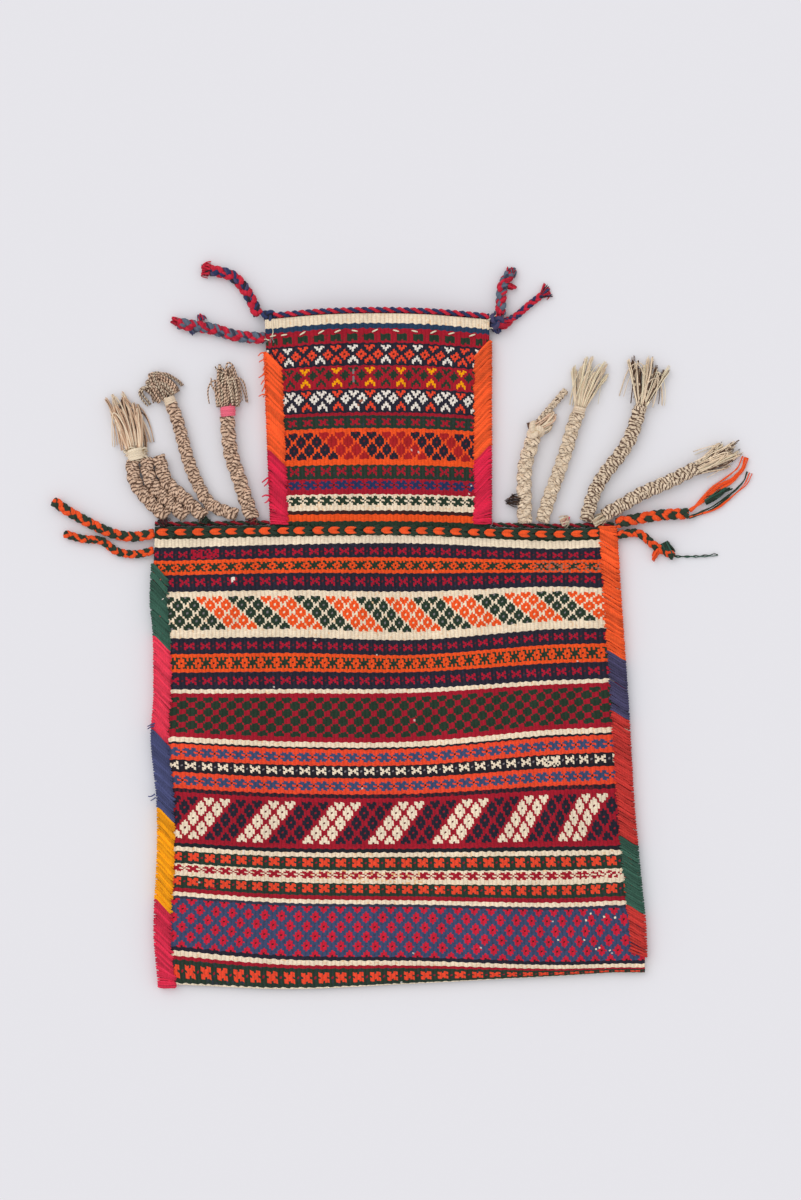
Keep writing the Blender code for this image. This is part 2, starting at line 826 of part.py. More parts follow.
hair_plaits = {
    "hair_plait_left_inner": ("marl", 0.0116, "neck_left", 0.0058, (
        (-14.5, 6.2), (-16.0, 17.0), (-21.5, 29.5), (-27.5, 41.5), (-31.0, 54.5),
        (-33.0, 68.0), (-33.5, 84.0), (-33.5, 87.5))),
    "hair_plait_left_middle": ("marl", 0.0100, "neck_left", 0.0050, (
        (-27.0, 9.9), (-37.0, 12.5), (-48.0, 18.5), (-56.0, 29.5), (-61.0, 43.0),
        (-66.5, 57.5), (-72.0, 77.0), (-76.5, 90.5), (-79.5, 98.5))),
    "hair_bundle_outer": ("marl", 0.0098, "shoulder_left", 0.0049, (
        (11.0, 8.8), (6.1, 13.0), (-3.4, 21.5), (-10.9, 31.0), (-14.9, 43.0), (-16.4, 54.0))),
    "hair_bundle_middle": ("marl", 0.0098, "shoulder_left", 0.0049, (
        (26.3, 8.8), (22.0, 12.5), (13.8, 20.4), (4.8, 28.6), (-1.3, 36.4), (-4.6, 45.5),
        (-5.6, 55.0))),
    "hair_bundle_inner": ("marl", 0.0098, "shoulder_left", 0.0049, (
        (41.4, 8.9), (37.0, 12.8), (29.0, 20.6), (21.0, 28.2), (12.9, 36.0), (8.0, 43.0),
        (5.6, 50.0), (4.8, 57.0))),
    "hair_plait_right_first": ("cream", 0.0118, "neck_right", 0.0059, (
        (27.0, 5.6), (26.5, 16.0), (25.5, 26.5), (25.0, 37.0), (25.5, 46.5), (27.0, 55.0),
        (29.5, 65.0), (33.0, 73.5))),
    "hair_plait_right_second": ("cream", 0.0110, "neck_right", 0.0055, (
        (40.0, 7.0), (43.5, 18.0), (48.0, 31.0), (53.0, 44.0), (57.0, 57.0), (61.5, 70.5),
        (66.5, 84.0), (69.0, 93.0))),
    "hair_plait_right_third": ("marl", 0.0112, "shoulder_right", 0.0056, (
        (-24.5, 7.0), (-21.0, 18.0), (-17.0, 31.0), (-10.5, 43.0), (-1.0, 55.0), (8.0, 69.0),
        (14.5, 83.0), (18.0, 94.5))),
    "hair_plait_right_fourth": ("marl", 0.0112, "shoulder_right", 0.0056, (
        (-9.6, 9.8), (-3.2, 14.4), (9.0, 22.4), (22.5, 29.0), (37.0, 35.5), (51.0, 42.5),
        (64.0, 47.5))),
}
# Each strand that grows from a cord's end or a knot: colour, diameter, root, then its route
# as offsets in millimetres from that end.
strands = {
    "orange_strand_upper": ("orange", 0.0044, "corner_plait_right_upper", (
        (1.7, 2.4), (8.0, 7.5), (16.5, 15.0), (25.5, 22.0), (36.0, 28.0), (44.0, 36.5),
        (47.0, 45.5))),
    "orange_strand_lower": ("orange", 0.0034, "corner_plait_right_upper", (
        (1.0, -2.3), (9.5, 0.0), (20.0, 4.5), (30.0, 11.0), (39.0, 18.0), (45.5, 24.5),
        (49.5, 33.5))),
    "green_thread": ("dark_green", 0.0016, "corner_plait_right_lower", (
        (0.9, 0.0), (6.5, -0.4), (13.0, -0.5), (24.0, 0.0), (36.0, 1.0))),
    "thin_hair_plait": ("cream", 0.0060, "knot_right_first", (
        (1.1, 1.8), (8.0, 9.5), (15.5, 18.0), (23.0, 27.0))),
}

# Each tie: the cord it closes, its colour, length and radius.
ties = {
    "tie_pink": ("hair_plait_left_inner", "rose", 0.0070, 0.0055),
    "tie_left_middle": ("hair_plait_left_middle", "cream", 0.0050, 0.0048),
    "knot_right_first": ("hair_plait_right_first", "cream", 0.0110, 0.0064),
    "tie_right_second": ("hair_plait_right_second", "cream", 0.0050, 0.0052),
    "tie_right_third": ("hair_plait_right_third", "cream", 0.0040, 0.0054),
}

# Each tuft: what it grows from, its colour, length, turn in degrees, radii and spread.
tufts = {
    "tuft_left_inner": ("tie_pink", "marl", 0.038, 4.0, (0.0044, 0.0062, 0.0060, 0.0044), 2.2),
    "tuft_left_middle": ("tie_left_middle", "marl", 0.022, 42.0, (0.0044, 0.0056, 0.0050), 1.8),
    "tuft_right_second": ("tie_right_second", "cream", 0.040, 8.0, (0.0044, 0.0060, 0.0050), 2.4),
    "tuft_right_third": ("tie_right_third", "marl", 0.035, 13.0, (0.0044, 0.0060, 0.0050), 2.9),
    "tuft_right_fourth": ("hair_plait_right_fourth", "marl", 0.036, 0.0, (0.0046, 0.0060, 0.0036), 1.9),
    "tail_left_navy": ("mouth_plait_left_navy", "crimson", 0.008, 6.0, (0.0034, 0.0038, 0.0024), 1.8),
    "tail_right_navy": ("mouth_plait_right_navy", "navy", 0.008, 0.0, (0.0022, 0.0028, 0.0022), 1.8),
}
bundle_tie_length = 0.0080
bundle_tuft_length = 0.0460


def seat_on_shoulder(points, diameter):
    """Slide a route along Y until its first face meets the edging of the back shoulder."""
    path = smooth_path(points, path_spacing * diameter)
    heading = (path[1] - path[0]).normalized()
    radius = diameter / 2
    shift = []
    for side in (-1, 1):
        x = path[0].x - side * radius * heading.y
        y = path[0].y + side * radius * heading.x
        shift.append(body_line(1.0, x) + back_chain_diameter + 1.1 * clearance - y)
    return [point + Vector((0, max(shift), 0)) for point in points]


def build_cords():
    """Loose cords first, then the ties at their ends, and what grows from both."""
    ends = {}

    def lay(name, colour, diameter, points):
        path = build_tube(name, colour, diameter, points)
        ends[name] = (path[-1], (path[-1] - path[-2]).normalized())

    for name, (colour, diameter, corner, height, offsets) in corner_cords.items():
        lay(name, colour, diameter, route_points(anchor(corner), diameter, height, offsets))
    for name, (colour, diameter, corner, height, offsets) in hair_plaits.items():
        points = route_points(anchor(corner), diameter, height, offsets)
        lay(name, colour, diameter, seat_on_shoulder(points, diameter))
    for name, (cord, colour, length, radius) in ties.items():
        tip, along = ends[cord]
        lift = Vector((0, 0, max(0.0, radius + floor_gap - tip.z)))
        start = tip + lift + along * clearance
        end = start + along * length
        radii = (0.8 * radius, radius, radius, 0.8 * radius)
        build_lump(name, colour, start, end, radii)
        ends[name] = (end, along)
    for name, (colour, diameter, root, offsets) in strands.items():
        tip, _ = ends[root]
        lay(name, colour, diameter, route_points(Vector((tip.x, tip.y, 0)), diameter, tip.z, offsets))
    for name, (root, colour, length, turn, radii, spread) in tufts.items():
        tip, along = ends[root]
        along = Vector((along.x, along.y, 0.0)).normalized()
        build_tuft(name, colour, tip + along * clearance, along, length, turn, radii, spread)
    build_bundle_end(ends)


def build_bundle_end(ends):
    """The tie that gathers the bundle of hair plaits, and its tuft."""
    outer, along = ends["hair_bundle_outer"]
    middle, _ = ends["hair_bundle_middle"]
    radius = 0.0052
    start = outer.lerp(middle, 0.35) + along * clearance + Vector((0, 0, 0.0004))
    start.z = max(start.z, radius + floor_gap)
    along = Vector((along.x, along.y, 0.0)).normalized()
    tie_radii = (radius, 1.1 * radius, radius)
    build_tuft("tie_bundle", "cream", start, along, bundle_tie_length, 0.0, tie_radii, 1.2)
    start = start + along * (bundle_tie_length + clearance)
    radii = (0.0048, 0.0062, 0.0060, 0.0040)
    build_tuft("tuft_bundle", "marl", start, along, bundle_tuft_length, 5.0, radii, 2.2)


def build_knots():
    """The two lump knots where the mouth cord ends."""
    height = 0.0062
    left = anchor("mouth_left") + Vector((knot_radius, knot_radius + clearance, height))
    reach = Vector((0.82 * knot_radius, 0.0, 0.0))
    radii = (0.5 * knot_radius, knot_radius, knot_radius, 0.5 * knot_radius)
    build_lump("knot_mouth_left", "navy", left - reach, left + reach, radii)
    beside = knot_radius - edge_depth + clearance
    right = anchor("mouth_right") + Vector((beside, -0.0020, height))
    reach = Vector((0.0, 1.9 * knot_radius, 0.0))
    build_lump("knot_mouth_right", "navy", right - reach, right + reach, radii)


def main():
    for old in list(bpy.data.objects):
        bpy.data.objects.remove(old, do_unlink=True)
    surface = build_cloth()
    left_top = shoulder_y - left_binding_start
    fold_left = body_line(0.0, outer_left(fold_y))
    fold_right = body_line(0.0, outer_right(fold_y))
    build_bindings("binding_left", body_left, -1, left_top, fold_left, left_runs)
    build_bindings("binding_right", body_right, 1, shoulder_y, fold_right, right_runs, -right_wrap_rise)
    neck_bottom = shoulder_y + 2 * clearance
    left_top = mouth_y - neck_left_binding_start
    right_top = mouth_y - neck_right_binding_start
    build_bindings("neck_binding_left", neck_left, -1, left_top, neck_bottom, neck_left_runs)
    build_bindings("neck_binding_right", neck_right, 1, right_top, neck_bottom, neck_right_runs)
    build_lip_cords()
    build_front_chain(surface)
    build_back_chains()
    build_knots()
    build_cords()


main()
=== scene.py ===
import math

import bmesh
import bpy
import numpy as np
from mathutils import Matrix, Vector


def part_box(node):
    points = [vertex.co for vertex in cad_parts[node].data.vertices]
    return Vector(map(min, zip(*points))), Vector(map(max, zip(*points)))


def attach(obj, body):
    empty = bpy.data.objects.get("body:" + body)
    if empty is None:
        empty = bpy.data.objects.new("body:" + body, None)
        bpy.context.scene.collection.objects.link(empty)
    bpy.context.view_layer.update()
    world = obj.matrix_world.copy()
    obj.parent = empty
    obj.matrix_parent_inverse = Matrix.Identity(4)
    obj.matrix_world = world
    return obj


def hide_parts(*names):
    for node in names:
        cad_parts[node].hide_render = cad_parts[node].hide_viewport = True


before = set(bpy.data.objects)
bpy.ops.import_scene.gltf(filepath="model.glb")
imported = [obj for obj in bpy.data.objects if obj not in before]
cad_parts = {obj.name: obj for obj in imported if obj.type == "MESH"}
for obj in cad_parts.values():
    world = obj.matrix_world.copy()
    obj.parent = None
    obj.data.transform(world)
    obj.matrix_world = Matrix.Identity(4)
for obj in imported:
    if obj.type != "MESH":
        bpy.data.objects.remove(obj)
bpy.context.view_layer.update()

print("frame loaded")

# Camera straight above; its view is 0.96 m high, the photograph's 1200 pixels at 0.8 mm a pixel.
camera = {"lens": 85.0, "film": 36.0, "view": 0.96, "x": 0.0014, "y": 0.0388, "level": 0.008}

bpy.ops.object.select_all(action="DESELECT")
distance = camera["view"] * camera["lens"] / camera["film"]
bpy.ops.object.camera_add(location=(camera["x"], camera["y"], camera["level"] + distance), rotation=(0, 0, 0))
eye = bpy.context.object
eye.data.lens = camera["lens"]
eye.data.sensor_fit = "VERTICAL"
eye.data.sensor_height = camera["film"]
bpy.context.scene.camera = eye
bpy.context.scene.view_settings.view_transform = "Standard"
turn = 2 * np.pi


class Wire:
    # One output of a shader node; arithmetic on wires adds Math nodes.
    def __init__(self, tree, socket):
        self.tree, self.socket = tree, socket

    def join(self, operation, *operands):
        node = self.tree.nodes.new("ShaderNodeMath")
        node.operation = operation
        for slot, value in zip(node.inputs, operands):
            if isinstance(value, Wire):
                self.tree.links.new(value.socket, slot)
            else:
                slot.default_value = value
        return Wire(self.tree, node.outputs[0])

    def then(self, operation, *operands):
        return self.join(operation, self, *operands)

    def twin(self, output):
        # Another output of the same node.
        return Wire(self.tree, self.socket.node.outputs[output])

    def __add__(self, other):
        return self.join("ADD", self, other)

    def __radd__(self, other):
        return self.join("ADD", other, self)

    def __sub__(self, other):
        return self.join("SUBTRACT", self, other)

    def __rsub__(self, other):
        return self.join("SUBTRACT", other, self)

    def __mul__(self, other):
        return self.join("MULTIPLY", self, other)

    def __rmul__(self, other):
        return self.join("MULTIPLY", other, self)


class Finish:
    # A node tree and the one method that adds a node to it.
    def __init__(self, owner):
        owner.use_nodes = True
        self.owner, self.tree = owner, owner.node_tree
        self.tree.nodes.clear()

    def node(self, kind, settings=None, values=None, output=0):
        node = self.tree.nodes.new(kind)
        for key, value in (settings or {}).items():
            setattr(node, key, value)
        for key, value in (values or {}).items():
            if isinstance(value, Wire):
                self.tree.links.new(value.socket, node.inputs[key])
            else:
                node.inputs[key].default_value = value
        return Wire(self.tree, node.outputs[output]) if len(node.outputs) else None

    def noise(self, place, scale, detail):
        return self.node("ShaderNodeTexNoise", None, {"Vector": place, "Scale": scale, "Detail": detail})

    def mix(self, factor, first, second, blend="MIX"):
        return self.node("ShaderNodeMix", {"data_type": "RGBA", "blend_type": blend},
                         {"Factor": factor, "A": first, "B": second}, 2)


def linear(colour):
    c = np.asarray(colour, float) / 255
    return np.where(c <= 0.04045, c / 12.92, ((c + 0.055) / 1.055) ** 2.4)


# Floor and light. The floor lies a little below the bag, whose underside would flicker with it.
studio = {"ground": (229, 228, 233), "skylight": 0.84, "sun": 0.72, "softness": 50.0, "lean": (-28, -30),
          "floorSize": 12, "floorLevel": -0.0004}

paper = (*linear(studio["ground"]), 1.0)
sky = Finish(bpy.data.worlds.new("studioSky"))
bpy.context.scene.world = sky.owner
rays = sky.node("ShaderNodeLightPath", output="Is Camera Ray")
seen = rays + rays.twin("Is Glossy Ray") + rays.twin("Is Transmission Ray")
skylight = sky.node("ShaderNodeBackground", None, {"Color": (1, 1, 1, 1), "Strength": studio["skylight"]})
backdrop = sky.node("ShaderNodeBackground", None, {"Color": paper, "Strength": 1.0})
either = sky.node("ShaderNodeMixShader", None, {0: seen, 1: skylight, 2: backdrop})
sky.node("ShaderNodeOutputWorld", None, {"Surface": either})

bpy.ops.object.light_add(type="SUN", location=(-1, 1, 2), rotation=(*map(math.radians, studio["lean"]), 0))
lamp = bpy.context.object
lamp.data.energy = studio["sun"]
lamp.data.angle = math.radians(studio["softness"])

bpy.ops.mesh.primitive_plane_add(size=studio["floorSize"], location=(0, 0, studio["floorLevel"]))
floor = bpy.context.object
floor.name = "paleFloor"
floorFinish = Finish(bpy.data.materials.new("floorPaper"))
grain = floorFinish.node("ShaderNodeTexNoise", None, {"Scale": 40.0, "Detail": 2.0})
tone = floorFinish.mix(grain * 0.04, paper, (*(0.97 * c for c in paper[:3]), 1))
matt = floorFinish.node("ShaderNodeBsdfDiffuse", None, {"Color": tone})
floorFinish.node("ShaderNodeOutputMaterial", None, {"Surface": matt})
floor.data.materials.append(floorFinish.owner)
print("studio ready")

dyes = {
    "ivory": (252, 235, 207), "cream": (250, 228, 200), "white": (246, 238, 226), "navy": (43, 41, 54),
    "black": (38, 37, 46), "crimson": (172, 30, 48), "rose": (184, 28, 54), "orange": (252, 90, 36),
    "orangeRed": (246, 78, 50), "darkGreen": (44, 62, 48), "bottleGreen": (56, 98, 82), "blue": (68, 82, 118),
    "ink": (42, 68, 98), "navyBlue": (44, 58, 100), "denim": (80, 86, 132), "brick": (206, 56, 50),
    "rust": (176, 38, 40), "brown": (66, 38, 36), "yellow": (255, 168, 8), "peach": (248, 196, 140),
    "pink": (240, 60, 88), "candy": (250, 116, 140), "greyBlue": (98, 112, 130), "oat": (243, 208, 180),
    "hair": (104, 76, 60), "darkHair": (58, 42, 38), "fawn": (222, 186, 156), "magenta": (228, 34, 74),
    "duskBlue": (76, 72, 108), "faded": (170, 110, 92), "flint": (136, 130, 132), "hotOrange": (255, 98, 42),
    "wine": (230, 44, 80), "maroon": (116, 34, 46), "slate": (60, 62, 82), "bone": (250, 236, 206),
    "cherry": (214, 36, 62),
}
dyes = {name: linear(colour) for name, colour in dyes.items()}


def dice(seed):
    return np.random.default_rng(seed)


def ease(t):
    t = np.clip(t, 0.0, 1.0)
    return t * t * (3 - 2 * t)


def unit(v):
    return v / np.maximum(np.linalg.norm(v, axis=-1, keepdims=True), 1e-12)


def ripple(x, seed, step):
    # Smooth seeded noise in -1 to 1 along x, one knot every step.
    count = 4000
    knots = dice(seed).uniform(-1, 1, count)
    t = np.asarray(x, float) / step + count // 4
    low = np.floor(t).astype(int)
    f = ease(t - low)
    return knots[low % count] * (1 - f) + knots[(low + 1) % count] * f


def yarnFinish(name):
    # What every wool material reads: the tint, the two ply coordinates and the place.
    finish = Finish(bpy.data.materials.new(name))
    tint = finish.node("ShaderNodeAttribute", {"attribute_name": "yarn"})
    uv = finish.node("ShaderNodeUVMap", {"uv_map": "ply"})
    u = finish.node("ShaderNodeSeparateXYZ", None, {"Vector": uv})
    return finish, tint, u, u.twin(1), finish.node("ShaderNodeTexCoord", None, None, 3)


def woolSkin(finish, colour, roughness, height, strength, depth, fuzz, shine):
    bump = finish.node("ShaderNodeBump", None, {"Strength": strength, "Distance": depth, "Height": height})
    skin = finish.node("ShaderNodeBsdfPrincipled", None, {
        "Base Color": colour, "Roughness": roughness, "Normal": bump, "Sheen Weight": fuzz,
        "Sheen Roughness": yarnLook["sheen"],
        "Specular IOR Level": shine})
    finish.node("ShaderNodeOutputMaterial", None, {"Surface": skin})
    return finish.owner


# Noise scales of the wools, and how much each part of the yarn and of the weave darkens its dye: painted shade in
# ply grooves, at stitch edges and in rib furrows, darkening by fibre noise and by the wool's own cloudy mottle, and
# a painted highlight on the fibres (glow).
yarnLook = {"fibres": 2200.0, "cloud": 260.0, "spiral": 90.0, "patches": 160.0, "marl": 2.7, "groove": 0.20,
            "between": 0.16, "cloudy": 0.10, "glow": 0.02, "depth": 0.0004, "shine": 0.12, "sheen": 0.5}
weaveLook = {"fibres": 2600.0, "cloud": 60.0, "long": 0.35, "pillow": 0.13, "furrow": 0.50, "between": 0.07,
             "cloudy": 0.05, "depth": 0.0005, "bumpiness": 0.6, "rough": 0.86, "fuzz": 0.03, "shine": 0.10}


def woolFinish(name, twist, bumpiness, shade, fuzz=0.04, rough=0.88, marled=None):
    # Yarn: grooves between its plies, fine fibres and, in marled hair, a spiral of dark hair; painted shade darkens
    # the grooves, and a painted highlight lies on the fibres.
    finish, tint, u, v, place = yarnFinish(name)
    groove = (u * (2 * turn) + v * (turn / twist)).then("SINE")
    fibres, cloud = finish.noise(place, yarnLook["fibres"], 3.0), finish.noise(place, yarnLook["cloud"], 2.0)
    if marled is not None:
        wind = finish.noise(place, yarnLook["spiral"], 2.0) * 9.0
        spiral = (u * turn + v * (turn / yarnLook["marl"]) + wind).then("SINE")
        patchy = finish.noise(place, yarnLook["patches"], 2.0) * 2.4 + (marled - 1.2)
        share = finish.node("ShaderNodeClamp", None, {0: spiral * 1.8 + patchy})
        tint = finish.mix(share, tint, (*dyes["hair"], 1))
    # Painted shade in the ply grooves, with darkening by fibre noise and by the wool's own cloudy mottle.
    dark = (0.5 - groove * 0.5) * (yarnLook["groove"] * shade) + (1 - fibres) * (yarnLook["between"] * shade)
    dark = dark + (1 - cloud) * (yarnLook["cloudy"] * shade)
    shadow = finish.mix(dark, tint, (0.30, 0.26, 0.27, 1), "MULTIPLY")
    # Painted highlight: a pale screen over the fibres.
    lift = finish.mix(fibres * (yarnLook["glow"] * shade), shadow, (0.9, 0.84, 0.8, 1), "SCREEN")
    return woolSkin(finish, lift, rough + fibres * 0.1, groove * 0.5 + fibres * 0.7, bumpiness, yarnLook["depth"],
                    fuzz, yarnLook["shine"])


def clothFinish():
    # Warp-faced wool: each stitch is a small pillow, its fibres run up the cloth; painted shade darkens each
    # stitch's edges and the furrows between ribs.
    finish, tint, u, v, place = yarnFinish("wovenWool")
    pillow = (u * math.pi).then("COSINE").then("ABSOLUTE") * (v * math.pi).then("SINE").then("ABSOLUTE")
    twist = (u * (2 * turn) + v * (3 * math.pi)).then("SINE")
    column = (u * (math.pi / 2)).then("COSINE").then("ABSOLUTE")
    furrow = (1 - column).then("POWER", 3.0)
    long = finish.node("ShaderNodeMapping", None, {"Vector": place, "Scale": (1.0, weaveLook["long"], 1.0)})
    fibres, cloud = finish.noise(long, weaveLook["fibres"], 3.0), finish.noise(place, weaveLook["cloud"], 3.0)
    # Painted shade at stitch edges and in rib furrows, with darkening by fibre noise and by the wool's own cloudy
    # mottle.
    dark = (1 - pillow) * weaveLook["pillow"] + furrow * weaveLook["furrow"]
    dark = dark + (1 - fibres) * weaveLook["between"] + (1 - cloud) * weaveLook["cloudy"]
    shadow = finish.mix(dark, tint, (0.34, 0.24, 0.24, 1), "MULTIPLY")
    height = pillow * 0.6 + column * 0.7 + fibres * 0.30 + twist * 0.12
    return woolSkin(finish, shadow, weaveLook["rough"] + fibres * 0.1, height, weaveLook["bumpiness"],
                    weaveLook["depth"], weaveLook["fuzz"], weaveLook["shine"])


def tintedMesh(name, points, faces, tints, maps, material):
    # An object whose face corners carry a tint and a ply map.
    mesh = bpy.data.meshes.new(name)
    mesh.from_pydata(points.tolist(), [], faces)
    layer = mesh.color_attributes.new("yarn", "FLOAT_COLOR", "CORNER")
    layer.data.foreach_set("color", np.column_stack([tints, np.ones(len(tints))]).ravel())
    uv = mesh.uv_layers.new(name="ply")
    uv.data.foreach_set("uv", maps)
    mesh.polygons.foreach_set("use_smooth", np.ones(len(faces), bool))
    mesh.update()
    mesh.materials.append(material)
    thing = bpy.data.objects.new(name, mesh)
    bpy.context.collection.objects.link(thing)
    return thing


class Yarns:
    # Collects tubes of yarn into one mesh with a tint and a ply map.
    def __init__(self):
        self.count, self.points, self.quads, self.quadTints, self.quadMaps = 0, [], [], [], []
        self.caps, self.capTints, self.capMaps = [], [], []

    def lay(self, path, radius, tint, sides=6, flat=1.0, ref=(0.0, 0.0, 1.0), closed=False, phase=0.0):
        path = np.asarray(path, float)
        n = len(path)
        ahead = np.roll(path, -1, 0) - np.roll(path, 1, 0)
        if not closed:
            ahead[0], ahead[-1] = path[1] - path[0], path[-1] - path[-2]
        ahead = unit(ahead)
        side = unit(np.cross(ahead, np.asarray(ref, float)))
        up = np.cross(side, ahead)
        angle = turn * np.arange(sides) / sides
        size = np.broadcast_to(np.asarray(radius, float), (n,))[:, None, None]
        ring = side[:, None] * np.cos(angle)[None, :, None] + up[:, None] * (flat * np.sin(angle))[None, :, None]
        self.points.append((path[:, None] + size * ring).reshape(-1, 3))
        rows = n if closed else n - 1
        r, k = np.arange(rows)[:, None], np.arange(sides)[None]
        r2, k2 = (r + 1) % n, (k + 1) % sides
        quads = np.stack([r * sides + k, r2 * sides + k, r2 * sides + k2, r * sides + k2], -1)
        self.quads.append(self.count + quads.reshape(-1, 4))
        tint = np.broadcast_to(np.asarray(tint, float), (n, 3))
        self.quadTints.append(np.repeat(tint[:rows], sides, 0))
        step = np.linalg.norm(np.diff(path, axis=0), axis=1)
        v = np.concatenate([[0], np.cumsum(step), [step.sum() + step[-1]]]) * 1000 + phase
        low, high, vLow, vHigh = np.broadcast_arrays(
            k / sides, (k + 1) / sides, v[:rows, None], v[1:rows + 1, None])
        self.quadMaps.append(np.stack([low, vLow, low, vHigh, high, vHigh, high, vLow], -1).reshape(-1, 2))
        if not closed:
            for row, order in ((0, range(sides)), (n - 1, range(sides - 1, -1, -1))):
                self.caps.append([self.count + row * sides + s for s in order])
                self.capTints.append(tint[row])
                self.capMaps.append([(s / sides, v[row]) for s in order])
        self.count += n * sides

    def piece(self, name, material, nodes=()):
        tints, maps = np.repeat(np.concatenate(self.quadTints), 4, 0), np.concatenate(self.quadMaps)
        if self.caps:
            sizes = [len(cap) for cap in self.caps]
            tints = np.concatenate([tints, np.repeat(np.array(self.capTints), sizes, 0)])
            maps = np.concatenate([maps, *(np.array(spots) for spots in self.capMaps)])
        faces = np.concatenate(self.quads).tolist() + self.caps
        thing = tintedMesh(name, np.concatenate(self.points), faces, tints, maps.ravel(), material)
        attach(thing, "root")
        if nodes:
            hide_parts(*nodes)
        return thing


def lengthsAlong(path):
    return np.concatenate([[0], np.cumsum(np.linalg.norm(np.diff(path, axis=0), axis=1))])


def smoothRoute(points, step):
    # Even points on a smooth curve through the route's points, and their lengths along it.
    p = np.asarray(points, float)
    p = np.vstack([2 * p[0] - p[1], p, 2 * p[-1] - p[-2]])
    t = np.linspace(0, 1, 24, endpoint=False)[:, None]
    parts = [0.5 * (2 * b + (c - a) * t + (2 * a - 5 * b + 4 * c - d) * t ** 2 + (3 * b - a - 3 * c + d) * t ** 3)
             for a, b, c, d in zip(p, p[1:], p[2:], p[3:])]
    dense = np.vstack(parts + [p[-2:-1]])
    far = lengthsAlong(dense)
    even = np.linspace(0, far[-1], max(4, int(round(far[-1] / step))) + 1)
    return np.column_stack([np.interp(even, far, dense[:, k]) for k in range(3)]), even


def frameAlong(path):
    ahead = unit(np.gradient(path, axis=0))
    side = unit(np.column_stack([-ahead[:, 1], ahead[:, 0], np.zeros(len(path))]))
    return side, np.cross(ahead, side)


def levelFrame(heading):
    heading = unit(np.array([heading[0], heading[1], 0.0]))
    return heading, np.array([-heading[1], heading[0], 0.0])


def aboveFloor(line, yarn):
    # Yarn of this radius rests on the floor.
    line[:, 2] = np.maximum(line[:, 2], yarn * 1.02)
    return line


def marlBy(share, light="cream"):
    # Goat hair: light and dark follow each other every couple of millimetres along a strand.
    def marl(far, seed):
        level = 0.5 + 0.36 * ripple(far, seed, 0.0013) + 0.14 * ripple(far, seed + 1, 0.009)
        amount = ease((level - (1 - share)) * 5 + 0.5)[:, None]
        glow = 0.82 + 0.22 * dice(seed + 2).uniform()
        return (dyes[light] * (1 - amount) + dyes["hair"] * amount) * glow
    return marl


# A plait: how thick a strand is for its width, how flat it lies, and per number of yarns in a strand
# how far they lie from its middle and how thick they are.
plaiting = {"step": 0.0011, "share": 0.54, "high": 0.86, "lift": 0.17, "wander": 0.06, "twist": 1.15,
            4: (0.52, 0.60), 6: (0.60, 0.46)}


def braid(yarns, route, width, pitch, tints, seed, plies):
    # Three strands plaited flat, each of a few twisted yarns.
    path, far = smoothRoute(route, plaiting["step"])
    side, up = frameAlong(path)
    strand = width * plaiting["share"] / 2
    swing = width / 2 - strand
    high = plaiting["high"]
    apart, fat = (strand * share for share in plaiting[plies])
    wander = plaiting["wander"] * width * ripple(far, seed, 0.02)[:, None]
    for k in range(3):
        phase = (turn * far / pitch + turn * k / 3)[:, None]
        centre = path + side * (swing * np.sin(phase) + wander)
        centre = centre + up * (plaiting["lift"] * width * high * np.sin(2 * phase))
        for q in range(plies):
            spin = (turn * far / (width * plaiting["twist"]) + turn * q / plies + seed)[:, None]
            line = centre + apart * (side * np.cos(spin) + up * (high * np.sin(spin)))
            tint = tints[k][q % len(tints[k])] if isinstance(tints[k], tuple) else tints[k]
            colour = tint(far, seed + 7 * k + q) if callable(tint) else dyes[tint]
            colour = colour * (1 + 0.10 * ripple(far, seed + 31 * q + k, 0.006))[:, None]
            yarns.lay(aboveFloor(line, fat), fat, colour, phase=3.7 * q + 11.3 * k)
    return path, far


# Points a turn of a coil and round a knot, how uneven they are and how flat they lie.
winding = {"points": 14, "swell": 0.06, "flat": 0.95, "knot": 64, "nest": 0.22, "narrow": 0.9, "low": 0.45}


def coil(yarns, start, end, radius, turns, yarn, tint, seed):
    # Yarn wound round a plait's end.
    start, end = np.array(start, float), np.array(end, float)
    axis = unit(end - start)
    side = unit(np.array([-axis[1], axis[0], 0.0]))
    t = np.linspace(0, 1, int(turns * winding["points"]) + 1)
    angle = turn * turns * t
    swell = radius * (1 + winding["swell"] * ripple(t, seed, 0.12))
    line = start + (end - start) * t[:, None] + side * (swell * np.cos(angle))[:, None]
    line[:, 2] += winding["flat"] * swell * np.sin(angle)
    colour = dyes[tint] * (1 + 0.12 * ripple(t, seed + 1, 0.05))[:, None]
    yarns.lay(aboveFloor(line, yarn), yarn, colour, ref=tuple(axis))


def knotLump(yarns, centre, heading, size, yarn, tints, seed):
    # A pulled-tight knot: a trefoil of doubled yarn.
    heading, side = levelFrame(heading)
    t = np.linspace(0, turn, winding["knot"], endpoint=False)
    a, b = (np.sin(t) + 2 * np.sin(2 * t)) / 3, (np.cos(t) - 2 * np.cos(2 * t)) / 3
    for q, tint in enumerate(tints):
        grow = 1 - winding["nest"] * q
        line = np.array(centre) + heading * (a * size * grow)[:, None]
        line = line + side * (b * size * winding["narrow"] * grow)[:, None]
        line[:, 2] += -np.sin(3 * t) * size * winding["low"] * grow
        colour = dyes[tint] * (1 + 0.1 * ripple(t, seed + q, 0.7))[:, None]
        yarns.lay(aboveFloor(line, yarn), yarn, colour, closed=True)


# How loose ends differ: reach and bend of each end and of each lock, the dip at the sides, and their taper.
brushing = {"points": 17, "reach": (0.86, 1.04), "bend": (0.92, 1.08), "lockReach": 0.14, "lockBend": 0.25,
            "aside": 0.75, "dip": 0.14, "wave": 0.22, "lockWave": 0.35, "loop": 0.16, "taper": 0.45, "tone": 0.16,
            "mixed": 0.4, "lowest": 0.0012}


